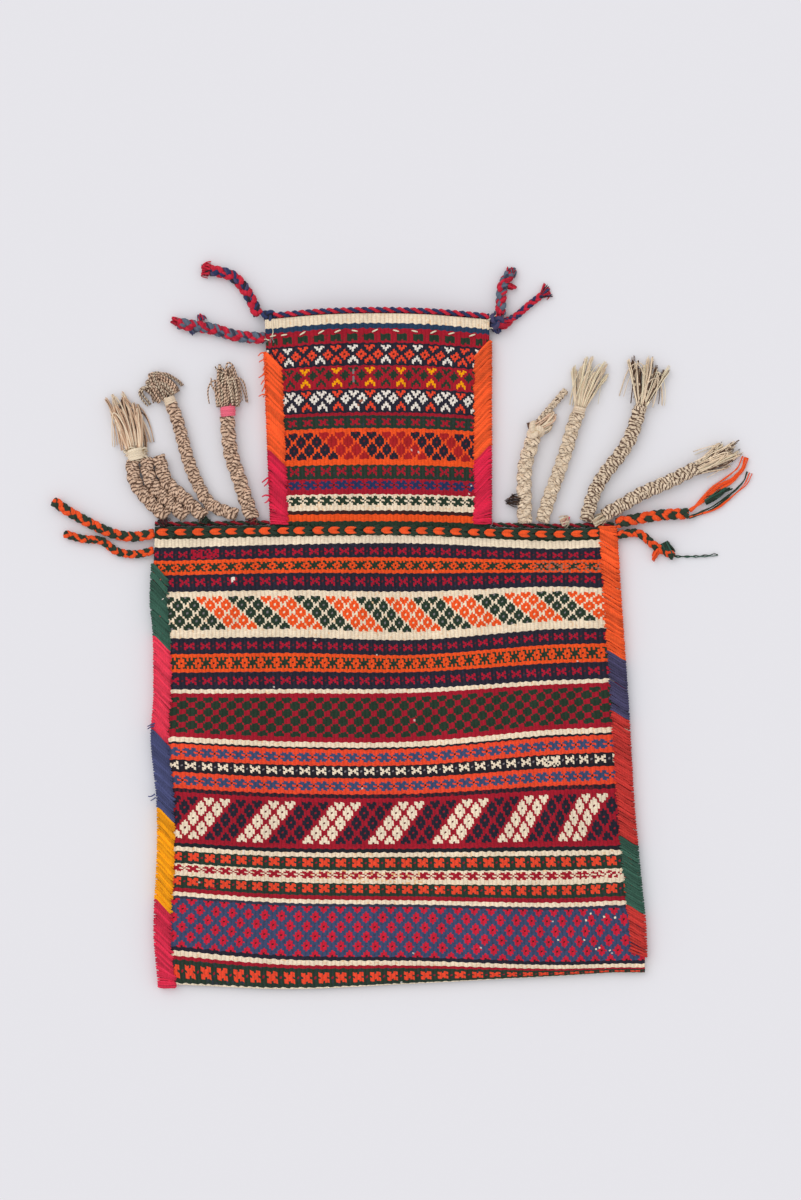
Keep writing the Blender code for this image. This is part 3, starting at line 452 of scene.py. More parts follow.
def brush(yarns, start, heading, length, widths, lean, count, thick, tints, seed, loops=0.0, curl=0.12, high=0.010,
          locks=9):
    # Loose hair or yarn ends beyond a tie; loops is the share that doubles back.
    r = dice(seed)
    start = np.array(start, float)
    heading, side = levelFrame(heading)
    t = np.linspace(0, 1, brushing["points"])
    for k in range(count):
        lock = k % locks
        across = (lock + 0.5) / locks * 2 - 1 + r.uniform(-1, 1) * brushing["aside"] / locks
        reach = length * (0.86 + brushing["lockReach"] * math.sin(5 * lock + seed)) * r.uniform(*brushing["reach"])
        reach = reach * (1 - brushing["dip"] * across ** 2)
        bend = math.radians(lean) * (1 + brushing["lockBend"] * math.sin(3 * lock + seed))
        bend = bend * r.uniform(*brushing["bend"])
        spread = widths[0] / 2 * across * (1 - t) + (widths[1] / 2 * across) * t
        wave = ripple(t, seed + 3 * k, brushing["wave"]) * 0.4 + 0.8 * ripple(t, seed + lock, brushing["lockWave"])
        spread = spread + curl * length * 0.2 * wave * t
        if r.uniform() < loops:
            along = reach * np.sin(np.pi * t * 0.96) * (0.9 + 0.1 * t)
            spread = spread + widths[1] * brushing["loop"] * np.sin(np.pi * (t - 0.5)) * r.choice((-1, 1))
        else:
            along = reach * t
        swung = bend * (along / length) * 0.5
        line = start + heading * (along * np.cos(swung))[:, None] + side * (along * np.sin(swung) + spread)[:, None]
        top = r.uniform(0.1, 1.0)
        rise = start[2] * (0.35 + 1.1 * top) * (1 - t) + (brushing["lowest"] + high * top ** 2 * 0.8) * t
        line[:, 2] = np.maximum(rise + 0.0008 * ripple(t, seed + k, 0.3), thick * 1.05)
        tint = tints[int(r.integers(len(tints))) if r.uniform() < brushing["mixed"] else lock % len(tints)]
        colour = tint(reach * t, seed + 11 * k) if callable(tint) else dyes[tint] * np.ones((len(t), 1))
        colour = colour * (1 + brushing["tone"] * r.uniform(-1, 1))
        fat = thick * (1 - brushing["taper"] * t ** 2)
        yarns.lay(line, fat, colour, sides=4, phase=float(r.uniform(0, 90)))


# Each wool: its name, the length of its twist in millimetres, bumpiness and shade; hair adds fuzz,
# roughness and how much of it is dark.
wools = {
    "navy_yarn": ("navyWool", 2.6, 0.5, 0.8), "grey_blue_yarn": ("greyBlueWool", 2.6, 0.5, 0.8),
    "orange_yarn": ("orangeWool", 2.4, 0.5, 0.8), "dark_green_yarn": ("darkGreenWool", 2.4, 0.5, 1.0),
    "marled_hair": ("goatHair", 1.7, 0.7, 0.9, 0.03, 0.7, -0.1),
    "pale_hair": ("paleHair", 1.7, 0.7, 0.8, 0.03, 0.7, -0.95),
    "loose_hair": ("looseHair", 1.7, 0.4, 0.3, 0.03, 0.7), "cream_yarn": ("creamCotton", 1.8, 0.5, 1.0),
    "rose_yarn": ("candyWool", 2.2, 0.5, 0.8), "crimson_yarn": ("crimsonWool", 2.4, 0.5, 0.9),
    "green_yarn": ("greenWool", 2.4, 0.5, 1.0), "pink_yarn": ("pinkWool", 2.4, 0.5, 0.8),
    "blue_yarn": ("blueWool", 2.4, 0.5, 1.0), "yellow_yarn": ("yellowWool", 2.4, 0.5, 0.7),
    "brick_yarn": ("brickWool", 2.4, 0.5, 0.9),
}
wool = {slot: woolFinish(*look) for slot, look in wools.items()}


def camel(name):
    head, *rest = name.split("_")
    return head + "".join(word.capitalize() for word in rest)


def tenths(*numbers):
    # A route's points, from numbers in tenths of a millimetre.
    return np.array(numbers).reshape(-1, 3) / 10000


# Plaited cords: slot, width, the three strands' dyes, pitch in widths, far end and route.
redNavy = ("cherry", ("navyBlue", "navyBlue", "navy", "duskBlue"), ("cherry", "rose", "navyBlue", "cherry"))
redGrey = (("cherry", "rose"), ("greyBlue", "greyBlue", "slate", "greyBlue"),
           ("cherry", "greyBlue", "rose", "greyBlue"))
orangeGreen = ("orange", "darkGreen", ("orange", "orange", "darkGreen", "darkGreen"))


def hairs(*shares, light="oat"):
    return tuple(marlBy(share, light) for share in shares)


creamHair = hairs(0.06, 0.1, 0.05, light="cream")
plaits = {
    "mouth_plait_left_navy": ("navy_yarn", 0.0092, redNavy, 2.0, "knot", tenths(
        -1130, 2670, 66, -1211, 2835, 49, -1329, 2975, 45, -1504, 3033, 45)),
    "mouth_plait_left_grey": ("grey_blue_yarn", 0.0096, redGrey, 2.0, "knot", tenths(
        -1079, 2483, 66, -1312, 2509, 49, -1542, 2567, 48, -1764, 2608, 48)),
    "mouth_plait_right_grey": ("grey_blue_yarn", 0.0088, redGrey, 2.0, "knot", tenths(
        809, 2679, 66, 818, 2795, 55, 834, 2910, 42, 891, 3008, 42)),
    "mouth_plait_right_navy": ("navy_yarn", 0.0058, redNavy, 2.1, "knot", tenths(
        810, 2606, 55, 934, 2660, 32, 1039, 2748, 29, 1146, 2833, 29)),
    "corner_plait_left_upper": ("orange_yarn", 0.0084, orangeGreen, 2.1, "bare", tenths(
        -1964, 922, 60, -2137, 897, 46, -2308, 923, 42, -2468, 996, 42, -2620, 1082, 42, -2764, 1182, 42)),
    "corner_plait_left_lower": ("orange_yarn", 0.0068, orangeGreen, 2.1, "bare", tenths(
        -1969, 787, 52, -2115, 752, 38, -2261, 776, 34, -2383, 862, 34, -2533, 879, 34, -2679, 917, 34)),
    "corner_plait_right_upper": ("orange_yarn", 0.0092, orangeGreen, 2.1, "bare", tenths(
        1745, 1007, 60, 1934, 1042, 49, 2123, 1072, 46, 2316, 1077, 46)),
    "corner_plait_right_lower": ("orange_yarn", 0.0070, orangeGreen, 2.1, "bare", tenths(
        1755, 907, 52, 1922, 922, 36, 2053, 820, 35, 2201, 742, 35)),
    "hair_plait_left_inner": ("marled_hair", 0.0124, hairs(0.12, 0.16, 0.1), 2.3, "knot", tenths(
        -1175, 1044, 60, -1261, 1310, 60, -1349, 1576, 60, -1365, 1857, 60)),
    "hair_plait_left_middle": ("marled_hair", 0.0108, hairs(0.12, 0.16, 0.1), 2.3, "knot", tenths(
        -1300, 1072, 52, -1502, 1151, 52, -1617, 1335, 52, -1692, 1540, 52, -1753, 1751, 52, -1825, 1958, 52)),
    "hair_bundle_outer": ("marled_hair", 0.0114, hairs(0.14, 0.2, 0.12), 2.3, "knot", tenths(
        -1864, 1055, 51, -2002, 1176, 51, -2104, 1327, 51, -2138, 1507, 51)),
    "hair_bundle_middle": ("marled_hair", 0.0114, hairs(0.14, 0.1, 0.14), 2.3, "knot", tenths(
        -1711, 1055, 51, -1854, 1187, 51, -1986, 1329, 51, -2030, 1517, 51)),
    "hair_bundle_inner": ("marled_hair", 0.0114, hairs(0.1, 0.14, 0.12), 2.3, "knot", tenths(
        -1560, 1056, 51, -1711, 1199, 51, -1859, 1345, 51, -1926, 1537, 51)),
    "hair_plait_right_first": ("cream_yarn", 0.0124, creamHair, 2.3, "knot", tenths(
        1016, 1011, 61, 1000, 1241, 61, 1009, 1470, 61, 1076, 1690, 61)),
    "thin_hair_plait": ("cream_yarn", 0.0060, hairs(0.1, 0.2, 0.1, light="cream"), 2.2, "bare", tenths(
        1120, 1817, 66, 1194, 1899, 44, 1268, 1983, 32, 1339, 2069, 32)),
    "hair_plait_right_second": ("cream_yarn", 0.0116, creamHair, 2.3, "knot", tenths(
        1146, 1020, 57, 1244, 1307, 57, 1340, 1593, 57, 1436, 1880, 57)),
    "hair_plait_right_third": ("marled_hair", 0.0118, hairs(0.1, 0.12, 0.16, light="cream"), 2.3, "knot", tenths(
        1501, 1026, 58, 1574, 1261, 58, 1705, 1467, 58, 1840, 1672, 58, 1926, 1901, 58)),
    "hair_plait_right_fourth": ("marled_hair", 0.0118, creamHair, 2.3, "knot", tenths(
        1650, 1061, 58, 1882, 1211, 58, 2133, 1326, 58, 2386, 1438, 58)),
}
made, lines = {}, {}
for order, (name, (slot, width, tints, pitch, end, route)) in enumerate(plaits.items()):
    yarns = Yarns()
    lines[name] = braid(yarns, route, width, pitch * width, tints, 40 + order, 6 if "hair" in name else 4)
    made[name] = yarns.piece(camel(name), wool["pale_hair" if slot == "cream_yarn" else slot], [name])

# Ends of yarn that leave a cord's side: place, heading, length, widths, count, thickness, dyes.
ends = {
    "mouth_plait_left_grey": ("grey_blue_yarn", (
        ((-0.1654, 0.2570, 0.0040), (0.1, -1), 0.0060, (0.004, 0.006), 20, 0.0005, ("greyBlue", "navy", "denim")),
        ((-0.1578, 0.2630, 0.0040), (-0.2, 1), 0.0060, (0.004, 0.006), 20, 0.0005, ("greyBlue", "denim", "cherry")),
        ((-0.1760, 0.2610, 0.0040), (-0.8, 0.5), 0.0080, (0.004, 0.005), 22, 0.0006,
         ("cherry", "rose", "cherry")))),
    "corner_plait_right_lower": ("orange_yarn", (
        ((0.2128, 0.0850, 0.0046), (0.42, -0.9), 0.0150, (0.005, 0.008), 30, 0.0008,
         ("darkGreen", "darkGreen", "bottleGreen")),
        ((0.2085, 0.0790, 0.0040), (-0.62, -0.78), 0.0110, (0.003, 0.004), 18, 0.0006, ("orange", "hotOrange")))),
    "mouth_plait_right_grey": ("grey_blue_yarn", (
        ((0.0886, 0.2990, 0.0042), (0.5, 0.85), 0.0080, (0.006, 0.009), 34, 0.0006,
         ("cherry", "greyBlue", "rose", "greyBlue")),
        ((0.0880, 0.2915, 0.0042), (0.8, -0.5), 0.0075, (0.003, 0.004), 16, 0.0006, ("cherry", "rose")),
        ((0.0800, 0.2650, 0.0060), (0.2, 1), 0.0060, (0.005, 0.007), 26, 0.0006,
         ("cherry", "greyBlue", "cherry")))),
    "orange_strand_lower": ("orange_yarn", (
        ((0.2455, 0.1175, 0.0030), (0.9, 0.42), 0.0250, (0.003, 0.0055), 30, 0.0006,
         ("bottleGreen", "darkGreen")),)),
}
for name, (slot, tails) in ends.items():
    yarns = Yarns()
    for order, (place, heading, reach, widths, count, thick, dyed) in enumerate(tails):
        brush(yarns, place, heading, reach, widths, 15, count, thick, dyed, 700 + 9 * order, 0.3, 0.3, 0.003, 5)
    made[name + "_ends"] = yarns.piece(camel(name) + "Ends", wool[slot])
print("plaits made")

# Single loose strands of yarn, part come apart: slot, width, dyes and route.
strands = {
    "orange_strand_upper": ("orange_yarn", 0.0050, ("orange", "hotOrange", "orange", "orange", "hotOrange"), tenths(
        2333, 1101, 46, 2415, 1168, 29, 2495, 1239, 24, 2581, 1303, 24, 2674, 1356, 24, 2749, 1432, 24,
        2786, 1532, 24)),
    "orange_strand_lower": ("orange_yarn", 0.0040, ("orange", "hotOrange", "darkGreen", "darkGreen"), tenths(
        2326, 1054, 46, 2399, 1073, 23, 2472, 1101, 18, 2542, 1137, 19, 2608, 1181, 19, 2671, 1228, 19,
        2731, 1279, 19, 2781, 1339, 19, 2811, 1412, 19)),
    "green_thread": ("dark_green_yarn", 0.0018, ("bottleGreen", "darkGreen"), tenths(
        2210, 742, 35, 2245, 739, 17, 2284, 737, 10, 2323, 737, 10, 2403, 740, 10, 2482, 745, 10, 2561, 752, 10)),
}
thread = {"radius": 0.0005, "pitch": 0.0072, "fan": 0.0040, "spread": 0.65, "extra": 0.0012, "fat": 0.17,
          "wave": 0.0007, "rise": 0.0006, "floor": 0.27}
for order, (name, (slot, width, tints, route)) in enumerate(strands.items()):
    yarns = Yarns()
    path, far = smoothRoute(route, 0.0012)
    side, up = frameAlong(path)
    for q, tint in enumerate(tints):
        widest = min(thread["fan"], thread["spread"] * width + thread["extra"])
        fan = (q / (len(tints) - 1) - 0.5) * 2 * widest * ease(far / far[-1] * 2.2)[:, None]
        if name == "green_thread":
            fan = thread["radius"] * np.cos(turn * far / thread["pitch"] + np.pi * q)[:, None]
        wave = thread["wave"] * ripple(far, 90 + 7 * q + order, 0.011)[:, None]
        line = path + side * (fan * (0.6 + 0.4 * ripple(far, 60 + q, 0.02)[:, None]) + wave)
        line = line + up * (thread["rise"] * ripple(far, 80 + q, 0.012))[:, None]
        line[:, 2] = np.maximum(line[:, 2], width * thread["floor"])
        shade = dyes[tint] * (1 + 0.1 * ripple(far, q, 0.01))[:, None]
        fat = max(width * thread["fat"], thread["radius"]) * (1 + 0.3 * ripple(far, 70 + q, 0.004))
        fat = fat * (1.2 - 0.6 * far / far[-1])
        yarns.lay(line, fat, shade)
    made[name] = yarns.piece(camel(name), wool[slot], [name])
    lines[name] = (path, far)

# Ties: start, end, radius, turns, yarn radius, dye, slot.
ties = {
    "tie_pink": ((-0.1365, 0.1861, 0.006), (-0.1369, 0.1931, 0.006), 0.0053, 4.4, 0.0009, "candy", "rose_yarn"),
    "tie_left_middle": ((-0.1826, 0.1961, 0.0052), (-0.1843, 0.2009, 0.0052), 0.0041, 3.2, 0.0008, "cream",
                        "cream_yarn"),
    "tie_right_second": ((0.1437, 0.1884, 0.0057), (0.1453, 0.1931, 0.0057), 0.0044, 3.1, 0.0008, "cream",
                         "cream_yarn"),
    "tie_right_third": ((0.1927, 0.1905, 0.0058), (0.1942, 0.1942, 0.0058), 0.0045, 2.8, 0.0008, "cream",
                        "marled_hair"),
    "tie_bundle": ((-0.2101, 0.1514, 0.0055), (-0.2116, 0.1593, 0.0055), 0.0056, 6.0, 0.0010, "ivory",
                   "cream_yarn"),
}
for order, (name, (start, end, radius, turns, yarn, tint, slot)) in enumerate(ties.items()):
    yarns = Yarns()
    coil(yarns, start, end, radius, turns, yarn, tint, 120 + order)
    coil(yarns, end, start, radius * 0.97, turns * 0.8, yarn, tint, 130 + order)
    heading = np.array(end) - np.array(start)
    brush(yarns, end, (heading[1] + heading[0], -heading[0] + heading[1]), 0.009, (0.001, 0.003), 10, 3,
          0.0006, (tint,), 140 + order)
    if name == "tie_bundle":
        for lean in ((1, 0.35), (-1, 0.5), (0.9, -0.5)):
            brush(yarns, (-0.2106, 0.1555, 0.0075), lean, 0.0105, (0.006, 0.010), 20, 26, 0.0006,
                  ("ivory", "cream"), 148, 0.7, 0.6, 0.004, 4)
    made[name] = yarns.piece(camel(name), wool[slot], [name])

# Knots: centre, heading, size, yarn radius, dyes, slot; then the loops of yarn that stand out of them.
knots = {
    "knot_mouth_left": ((-0.1045, 0.2664, 0.0066), (1, 0), 0.0046, 0.0017, ("navyBlue", "navy"), "navy_yarn", ()),
    "knot_mouth_right": ((0.0780, 0.2618, 0.0066), (0, 1), 0.0056, 0.0018, ("duskBlue", "navyBlue"), "navy_yarn", (
        ((0.0790, 0.2600, 0.0062), (1, -0.10), 0.0125, (0.005, 0.007), 40, ("cherry", "rose", "cherry")),
        ((0.0770, 0.2600, 0.0062), (0.15, -1), 0.0085, (0.005, 0.006), 30, ("duskBlue", "navyBlue")))),
    "knot_right_first": ((0.1093, 0.1744, 0.0066), (0.3, 1), 0.0064, 0.0021, ("cream", "ivory"), "cream_yarn", (
        ((0.1105, 0.1755, 0.0062), (0.9, 0.40), 0.0200, (0.006, 0.011), 60, ("cream", "bone", "oat")),
        ((0.1090, 0.1760, 0.0062), (-0.3, 1.0), 0.0070, (0.006, 0.008), 20, ("cream", "hair")))),
}
for order, (name, (centre, heading, size, yarn, tints, slot, lobes)) in enumerate(knots.items()):
    yarns = Yarns()
    knotLump(yarns, centre, heading, size, yarn, tints, 150 + order)
    for place, lean, reach, widths, count, dyed in lobes:
        brush(yarns, place, lean, reach, widths, 20, count, 0.0006, dyed, 160 + order, 0.6, 0.6, 0.004, 4)
    made[name] = yarns.piece(camel(name), wool[slot], [name])

# Tufts: start, heading, length, widths, lean, count, thickness, dyes, loops, slot.
palest, mixed, dusky, oaten = marlBy(0.12), marlBy(0.3), marlBy(0.75), marlBy(0.1, "oat")
tufts = {
    "tuft_left_inner": ((-0.1369, 0.1935, 0.006), (-0.02, 1), 0.037, (0.009, 0.026), 8, 34, 0.0009,
                        (oaten, palest, oaten, "oat"), 0.9, "marled_hair"),
    "tuft_left_middle": ((-0.1844, 0.2012, 0.0052), (-0.5, 0.87), 0.026, (0.010, 0.032), 40, 42, 0.0009,
                         (oaten, palest, oaten), 0.85, "marled_hair"),
    "tuft_bundle": ((-0.2117, 0.1597, 0.0055), (-0.12, 1), 0.048, (0.013, 0.026), 20, 240, 0.0006,
                    ("fawn", "cream", "fawn", palest, "fawn", "hair", "cream"), 0.12, "marled_hair"),
    "tuft_right_second": ((0.1454, 0.1935, 0.0057), (0.2, 1), 0.042, (0.009, 0.030), -12, 260, 0.00036,
                          ("bone", "cream", "bone", palest, "cream"), 0.03, "cream_yarn"),
    "tuft_right_third": ((0.1943, 0.1946, 0.0058), (0.2, 1), 0.041, (0.008, 0.036), 4, 200, 0.00045,
                         ("bone", dusky, "cream", dusky, "cream", palest), 0.05, "marled_hair"),
    "tuft_right_fourth": ((0.2390, 0.1439, 0.0058), (0.92, 0.42), 0.040, (0.009, 0.022), 8, 150, 0.00045,
                          (mixed, dusky, mixed, "bone", palest, "cream"), 0.05, "marled_hair"),
    "tail_left_navy": ((-0.1508, 0.3034, 0.0045), (-0.97, 0.2), 0.0090, (0.005, 0.011), 30, 46, 0.0006,
                       ("cherry", "rose", "cherry", "navy"), 0.5, "navy_yarn"),
    "tail_right_navy": ((0.1149, 0.2835, 0.0029), (0.78, 0.62), 0.0090, (0.004, 0.014), 0, 44, 0.0004,
                        ("navy", "cherry", "denim"), 0.1, "navy_yarn"),
}
for order, (name, tuft) in enumerate(tufts.items()):
    start, heading, length, widths, lean, count, thick, tints, loops, slot = tuft
    yarns = Yarns()
    looped = name.startswith("tuft_left")
    brush(yarns, start, heading, length, widths, lean, count, thick, tints, 200 + 500 * order, loops,
          0.5 if looped else 0.12, start[2], 11 if length > 0.03 else 5)
    look = wool["marled_hair" if looped else "loose_hair" if name.startswith("tuft") else slot]
    made[name] = yarns.piece(camel(name), look, [name])

# Cords too short for their width are printed.
shortest = {"length": 0.0305, "widths": 6.05, "share": 0.8}
for name, (path, far) in lines.items():
    whole = plaits[name][1] if name in plaits else strands[name][1]
    end = plaits[name][4] if name in plaits else "bare"
    width = min(whole, far[-1] / shortest["widths"])
    if far[-1] < shortest["length"] or width < shortest["share"] * whole:
        print("short cord left undeclared:", name, round(float(far[-1]), 4))
        continue
print("cords made")

# The bag's outline and walls, the same numbers as the model's own.
bag = {
    "width": 0.3988, "length": 0.5460, "body": 0.3712, "neckBase": 0.1776, "neckTop": 0.1840, "neckIn": 0.0944,
    "cloth": 0.0026, "pocket": 0.0074, "rise": 0.036, "flat": 0.014, "gap": 0.00035, "foldShare": 0.40,
    "slit": 0.020, "slitOpening": 0.0026, "lip": 0.0050, "clear": 0.0004, "edge": 0.0021, "seam": 0.0018,
    "arch": 0.0048, "foldUp": 0.0044,
}
bottomY = -bag["length"] / 2
shoulderY = bottomY + bag["body"]
foldY = bottomY + bag["foldUp"]
mouthY = bag["length"] / 2 - bag["lip"] - bag["clear"]
# How far each side stands in from the widest place, by share of the body's height.
insets = {
    -1: ((0.00, 0.0068), (0.13, 0.0030), (0.30, 0.0057), (0.41, 0.0052), (0.54, 0.0008), (0.63, 0.0028),
         (0.77, 0.0023), (0.84, 0.0000), (0.95, 0.0017), (1.00, 0.0020)),
    1: ((0.00, 0.0000), (0.13, 0.0010), (0.19, 0.0032), (0.30, 0.0072), (0.41, 0.0108), (0.54, 0.0136),
        (0.63, 0.0156), (0.77, 0.0192), (0.95, 0.0236), (1.00, 0.0248)),
}
# How far the woven rows sag, by height, at these shares of the width.
sagAcross = (0.06, 0.28, 0.53, 0.80, 0.93)
sags = (
    (0.000, (0.0008, 0.0044, 0.0000, -0.0056, -0.0088)), (0.049, (-0.0068, 0.0000, 0.0008, 0.0040, 0.0032)),
    (0.182, (-0.0056, -0.0004, 0.0008, 0.0028, 0.0016)), (0.228, (-0.0052, -0.0004, 0.0012, 0.0016, 0.0000)),
    (0.289, (-0.0028, 0.0012, 0.0016, 0.0004, 0.0000)), (0.529, (-0.0024, 0.0012, 0.0012, -0.0080, -0.0100)),
    (0.643, (0.0008, 0.0004, 0.0000, -0.0064, -0.0080)), (0.767, (0.0008, -0.0004, 0.0020, -0.0064, -0.0072)),
    (0.852, (0.0008, -0.0004, 0.0008, -0.0036, -0.0024)), (0.963, (0.0024, 0.0000, -0.0008, 0.0036, 0.0020)),
    (1.000, (0.0008, -0.0004, -0.0004, 0.0024, 0.0012)),
)


def through(places, values, t):
    # A smooth curve through the values; a table of columns takes one column for each t.
    places, values = np.asarray(places, float), np.asarray(values, float)
    t = np.clip(np.asarray(t, float), places[0], places[-1])
    n = len(places)
    after, before = np.minimum(np.arange(n) + 1, n - 1), np.maximum(np.arange(n) - 1, 0)
    width = places[after] - places[before]
    slope = (values[after] - values[before]) / (width if values.ndim == 1 else width[:, None])
    i = np.clip(np.searchsorted(places, t, "right") - 1, 0, n - 2)
    span = places[i + 1] - places[i]
    s = (t - places[i]) / span
    at, next = (i, i + 1) if values.ndim == 1 else ((i, np.arange(len(i))), (i + 1, np.arange(len(i))))
    return ((2 * s ** 3 - 3 * s ** 2 + 1) * values[at] + (s ** 3 - 2 * s ** 2 + s) * span * slope[at]
            + (3 * s ** 2 - 2 * s ** 3) * values[next] + (s ** 3 - s ** 2) * span * slope[next])


def outer(y, side):
    return side * (bag["width"] / 2 - through(*zip(*insets[side]), (y - bottomY) / bag["body"]))


neckX = float(outer(shoulderY, -1)) + bag["neckIn"]


def bodyLeft(y):
    return outer(y, -1) + bag["edge"]


def bodyRight(y):
    return outer(y, 1) - bag["edge"]


def neckLeft(y):
    lean = (bag["neckTop"] - bag["neckBase"]) * np.clip((y - shoulderY) / (mouthY - shoulderY), 0, 1)
    return neckX - lean + bag["edge"]


def neckRight(y):
    return neckX + bag["neckBase"] - bag["edge"] + 0 * np.asarray(y, float)


def sag(h, x):
    x = np.asarray(x, float)
    u = ((x + bag["width"] / 2) / bag["width"]).ravel()
    columns = np.array([through(sagAcross, line[1], u) for line in sags])
    return through([line[0] for line in sags], columns, np.broadcast_to(h, x.shape).ravel()).reshape(x.shape)


def bodyLine(h, x):
    return foldY + (shoulderY - foldY) * h - sag(h, x)


def neckLine(h, x):
    left, right = neckLeft(mouthY), neckRight(mouthY)
    middle, half = (left + right) / 2, (right - left) / 2
    top = bodyLine(1.0, x)
    return top + (mouthY - top) * h - bag["arch"] * h * ((x - middle) / half) ** 2


def edgeDistance(x, y, atSeam=False):
    # Distance in from the cloth's side edges; at the seam the whole shoulder line counts as an edge.
    past = (x - neckLeft(shoulderY), neckRight(shoulderY) - x)
    if atSeam:
        past = [np.maximum(0, far) for far in past]
    corners = np.minimum(*(np.hypot(far, shoulderY - y) for far in past))
    lower = np.minimum(np.minimum(x - bodyLeft(y), bodyRight(y) - x), corners)
    return np.where(y >= shoulderY, np.minimum(x - neckLeft(y), neckRight(y) - x), lower)


def nearMouth(y):
    return ease((y - (mouthY - bag["slit"])) / bag["slit"])


def backHeight(x, y):
    lift = bag["seam"] * (1 - ease((edgeDistance(x, y) - bag["flat"]) / bag["rise"]))
    return np.maximum(lift, (bag["lip"] - bag["cloth"]) / 2 * nearMouth(y))


def wallGap(x, y):
    share = ease((edgeDistance(x, y, True) - bag["flat"]) / bag["rise"])
    room = ease((y - bodyLine(0.0, x)) / bag["rise"])
    gap = (bag["pocket"] - bag["gap"]) * share * (bag["foldShare"] * (1 - room) + room)
    return bag["gap"] + gap + bag["slitOpening"] * (1 - share) * nearMouth(y)


def foldRadius(x):
    return bag["cloth"] + wallGap(x, bodyLine(0.0, x)) / 2


def frontHeight(x, y):
    line, radius = bodyLine(0.0, x), foldRadius(x)
    level = backHeight(x, y) + 2 * bag["cloth"] + wallGap(x, y)
    near = np.clip((y - line) / radius, 0, 1)
    rounded = backHeight(x, line + radius) + radius * (1 + np.sqrt(np.maximum(0, 1 - (1 - near) ** 2)))
    return np.where(y < line + radius, rounded, level)


# The weave. Rows and columns are counted on the photograph. In a table of leans, a row's number comes first,
# then how far the woven columns lean there, in stitches, at the stations.
body = {
    "rows": 248, "columns": 237, "low": foldY, "high": shoulderY, "left": bodyLeft, "right": bodyRight,
    "line": bodyLine, "stations": (22, 50, 80, 110, 140, 170, 200, 216), "leans": (
        (13.9, 1.96, .51, -2.02, -1.16, 2.31, 2.77, 1.15, .98),
        (21.8, 1.03, -.10, -2.39, -1.57, 2.23, 2.88, 1.69, 1.11),
        (30.3, -.45, -.98, -2.92, -1.77, 1.74, 2.56, 1.76, 1.81),
        (46.3, -1.75, -1.80, -3.35, -2.20, 1.40, 2.50, 2.80, 3.30),
        (64.8, -1.50, -1.18, -2.36, -1.46, .94, 1.93, 2.94, 3.87),
        (73.4, -1.62, -1.22, -1.72, -1.40, .87, 1.56, 3.15, 3.53),
        (83, -2.22, -1.37, -1.91, -1.42, .17, 1.11, 2.78, 3.14),
        (100.9, -3.10, -2.40, -2.80, -2.20, -.65, .10, 2.15, 3.15),
        (108.8, -3.53, -2.83, -3.39, -2.74, -1.31, -.61, 1.78, 2.85),
        (123.7, -2.65, -2.06, -3.04, -2.83, -1.96, -1.91, .12, 2.22),
        (139.4, -1.32, -1.52, -2.39, -2.45, -2.07, -2.59, -.22, 2.30),
        (159.3, -1.20, -1.17, -2.35, -2.60, -2.45, -2.57, -.25, 2.50),
        (181.2, -1.35, -.90, -2.00, -2.54, -2.72, -3.21, -1.66, -.48),
        (188.7, -1.36, -1.02, -1.85, -2.49, -2.62, -3.41, -1.61, -.69),
        (196, -1.61, -1.10, -1.95, -2.64, -2.65, -3.18, -.76, 1.59),
        (215.9, -1.49, -.98, -1.60, -2.30, -2.70, -3.58, -1.38, .84),
        (225.8, -1.04, -.45, -1.15, -2.46, -2.81, -3.69, -2.02, .08),
        (242.2, 1.20, 1.24, -.23, -1.64, -2.37, -4.21, -2.96, -1.10)),
}
neck = {
    "rows": 114, "columns": 120, "low": shoulderY, "high": mouthY, "left": neckLeft, "right": neckRight,
    "line": neckLine, "stations": (7, 16, 36, 60, 84, 106, 114), "leans": (
        (13.2, 4.38, 4.38, 2.53, 0, -2.06, -3.19, -3.19),
        (17.9, 4.5, 4.5, 2.6, -.16, -1.67, -2.8, -2.8),
        (21.8, 4.08, 4.08, 2.51, -.15, -1.21, -1.77, -1.77),
        (33.8, 3.73, 3.73, 2.51, -.09, -.55, -.79, -.79),
        (46.1, 3.30, 3.30, 2.31, .10, -.05, -.32, -.32),
        (58.3, 3.22, 3.22, 1.88, 0, .24, -.20, -.20),
        (71.3, 2.80, 2.80, 1.34, -.25, .92, 1.15, 1.15),
        (84.7, 2.89, 2.89, 1.15, .10, .82, .62, .62),
        (93, 2.99, 2.99, 1.29, .13, .67, .97, .97),
        (101.2, 2.94, 2.94, 1.04, .09, .84, 1.53, 1.53)),
}


def plain(top, bottom, rows, ground, show=None):
    return {"span": (top, bottom), "rows": rows, "ground": ground, "show": show or ground}


def crosses(top, bottom, rows, margin, ground, motif, shape, dot=None, show=None):
    return {"span": (top, bottom), "rows": rows, "ground": ground, "motif": motif, "margin": margin,
            "shape": shape, "dot": dot, "show": show or motif}


def lattice(top, bottom, rows, ground, pick, show, half=(2, 2, 1, 0, -1)):
    # half: a diamond's half width row by row out from its middle; twice its length less two is the period.
    return {"span": (top, bottom), "rows": rows, "ground": ground, "pick": pick, "show": show, "half": half}


def opened(top, bottom, flowers, diamond, ground, dotted, diamondShape, show):
    return {"span": (top, bottom), "rows": 9, "ground": ground, "show": show, "flowers": flowers,
            "diamond": diamond, "dotted": dotted, "diamondShape": diamondShape}


def slanted(lean, even, odd, evenDot, oddDot, first=-99):
    # Diamonds in blocks 16 stitches wide that lean one way down the band.
    def pick(s, j):
        block = np.maximum(np.floor((s + lean * j - 20) / 16), first) % 2 == 0
        return np.where(block, even, odd), np.where(block, evenDot, oddDot)
    return pick


def allOf(motif, dot=""):
    return lambda s, j: (np.full(s.shape, motif, dtype="<U12"), np.full(s.shape, dot, dtype="<U12"))


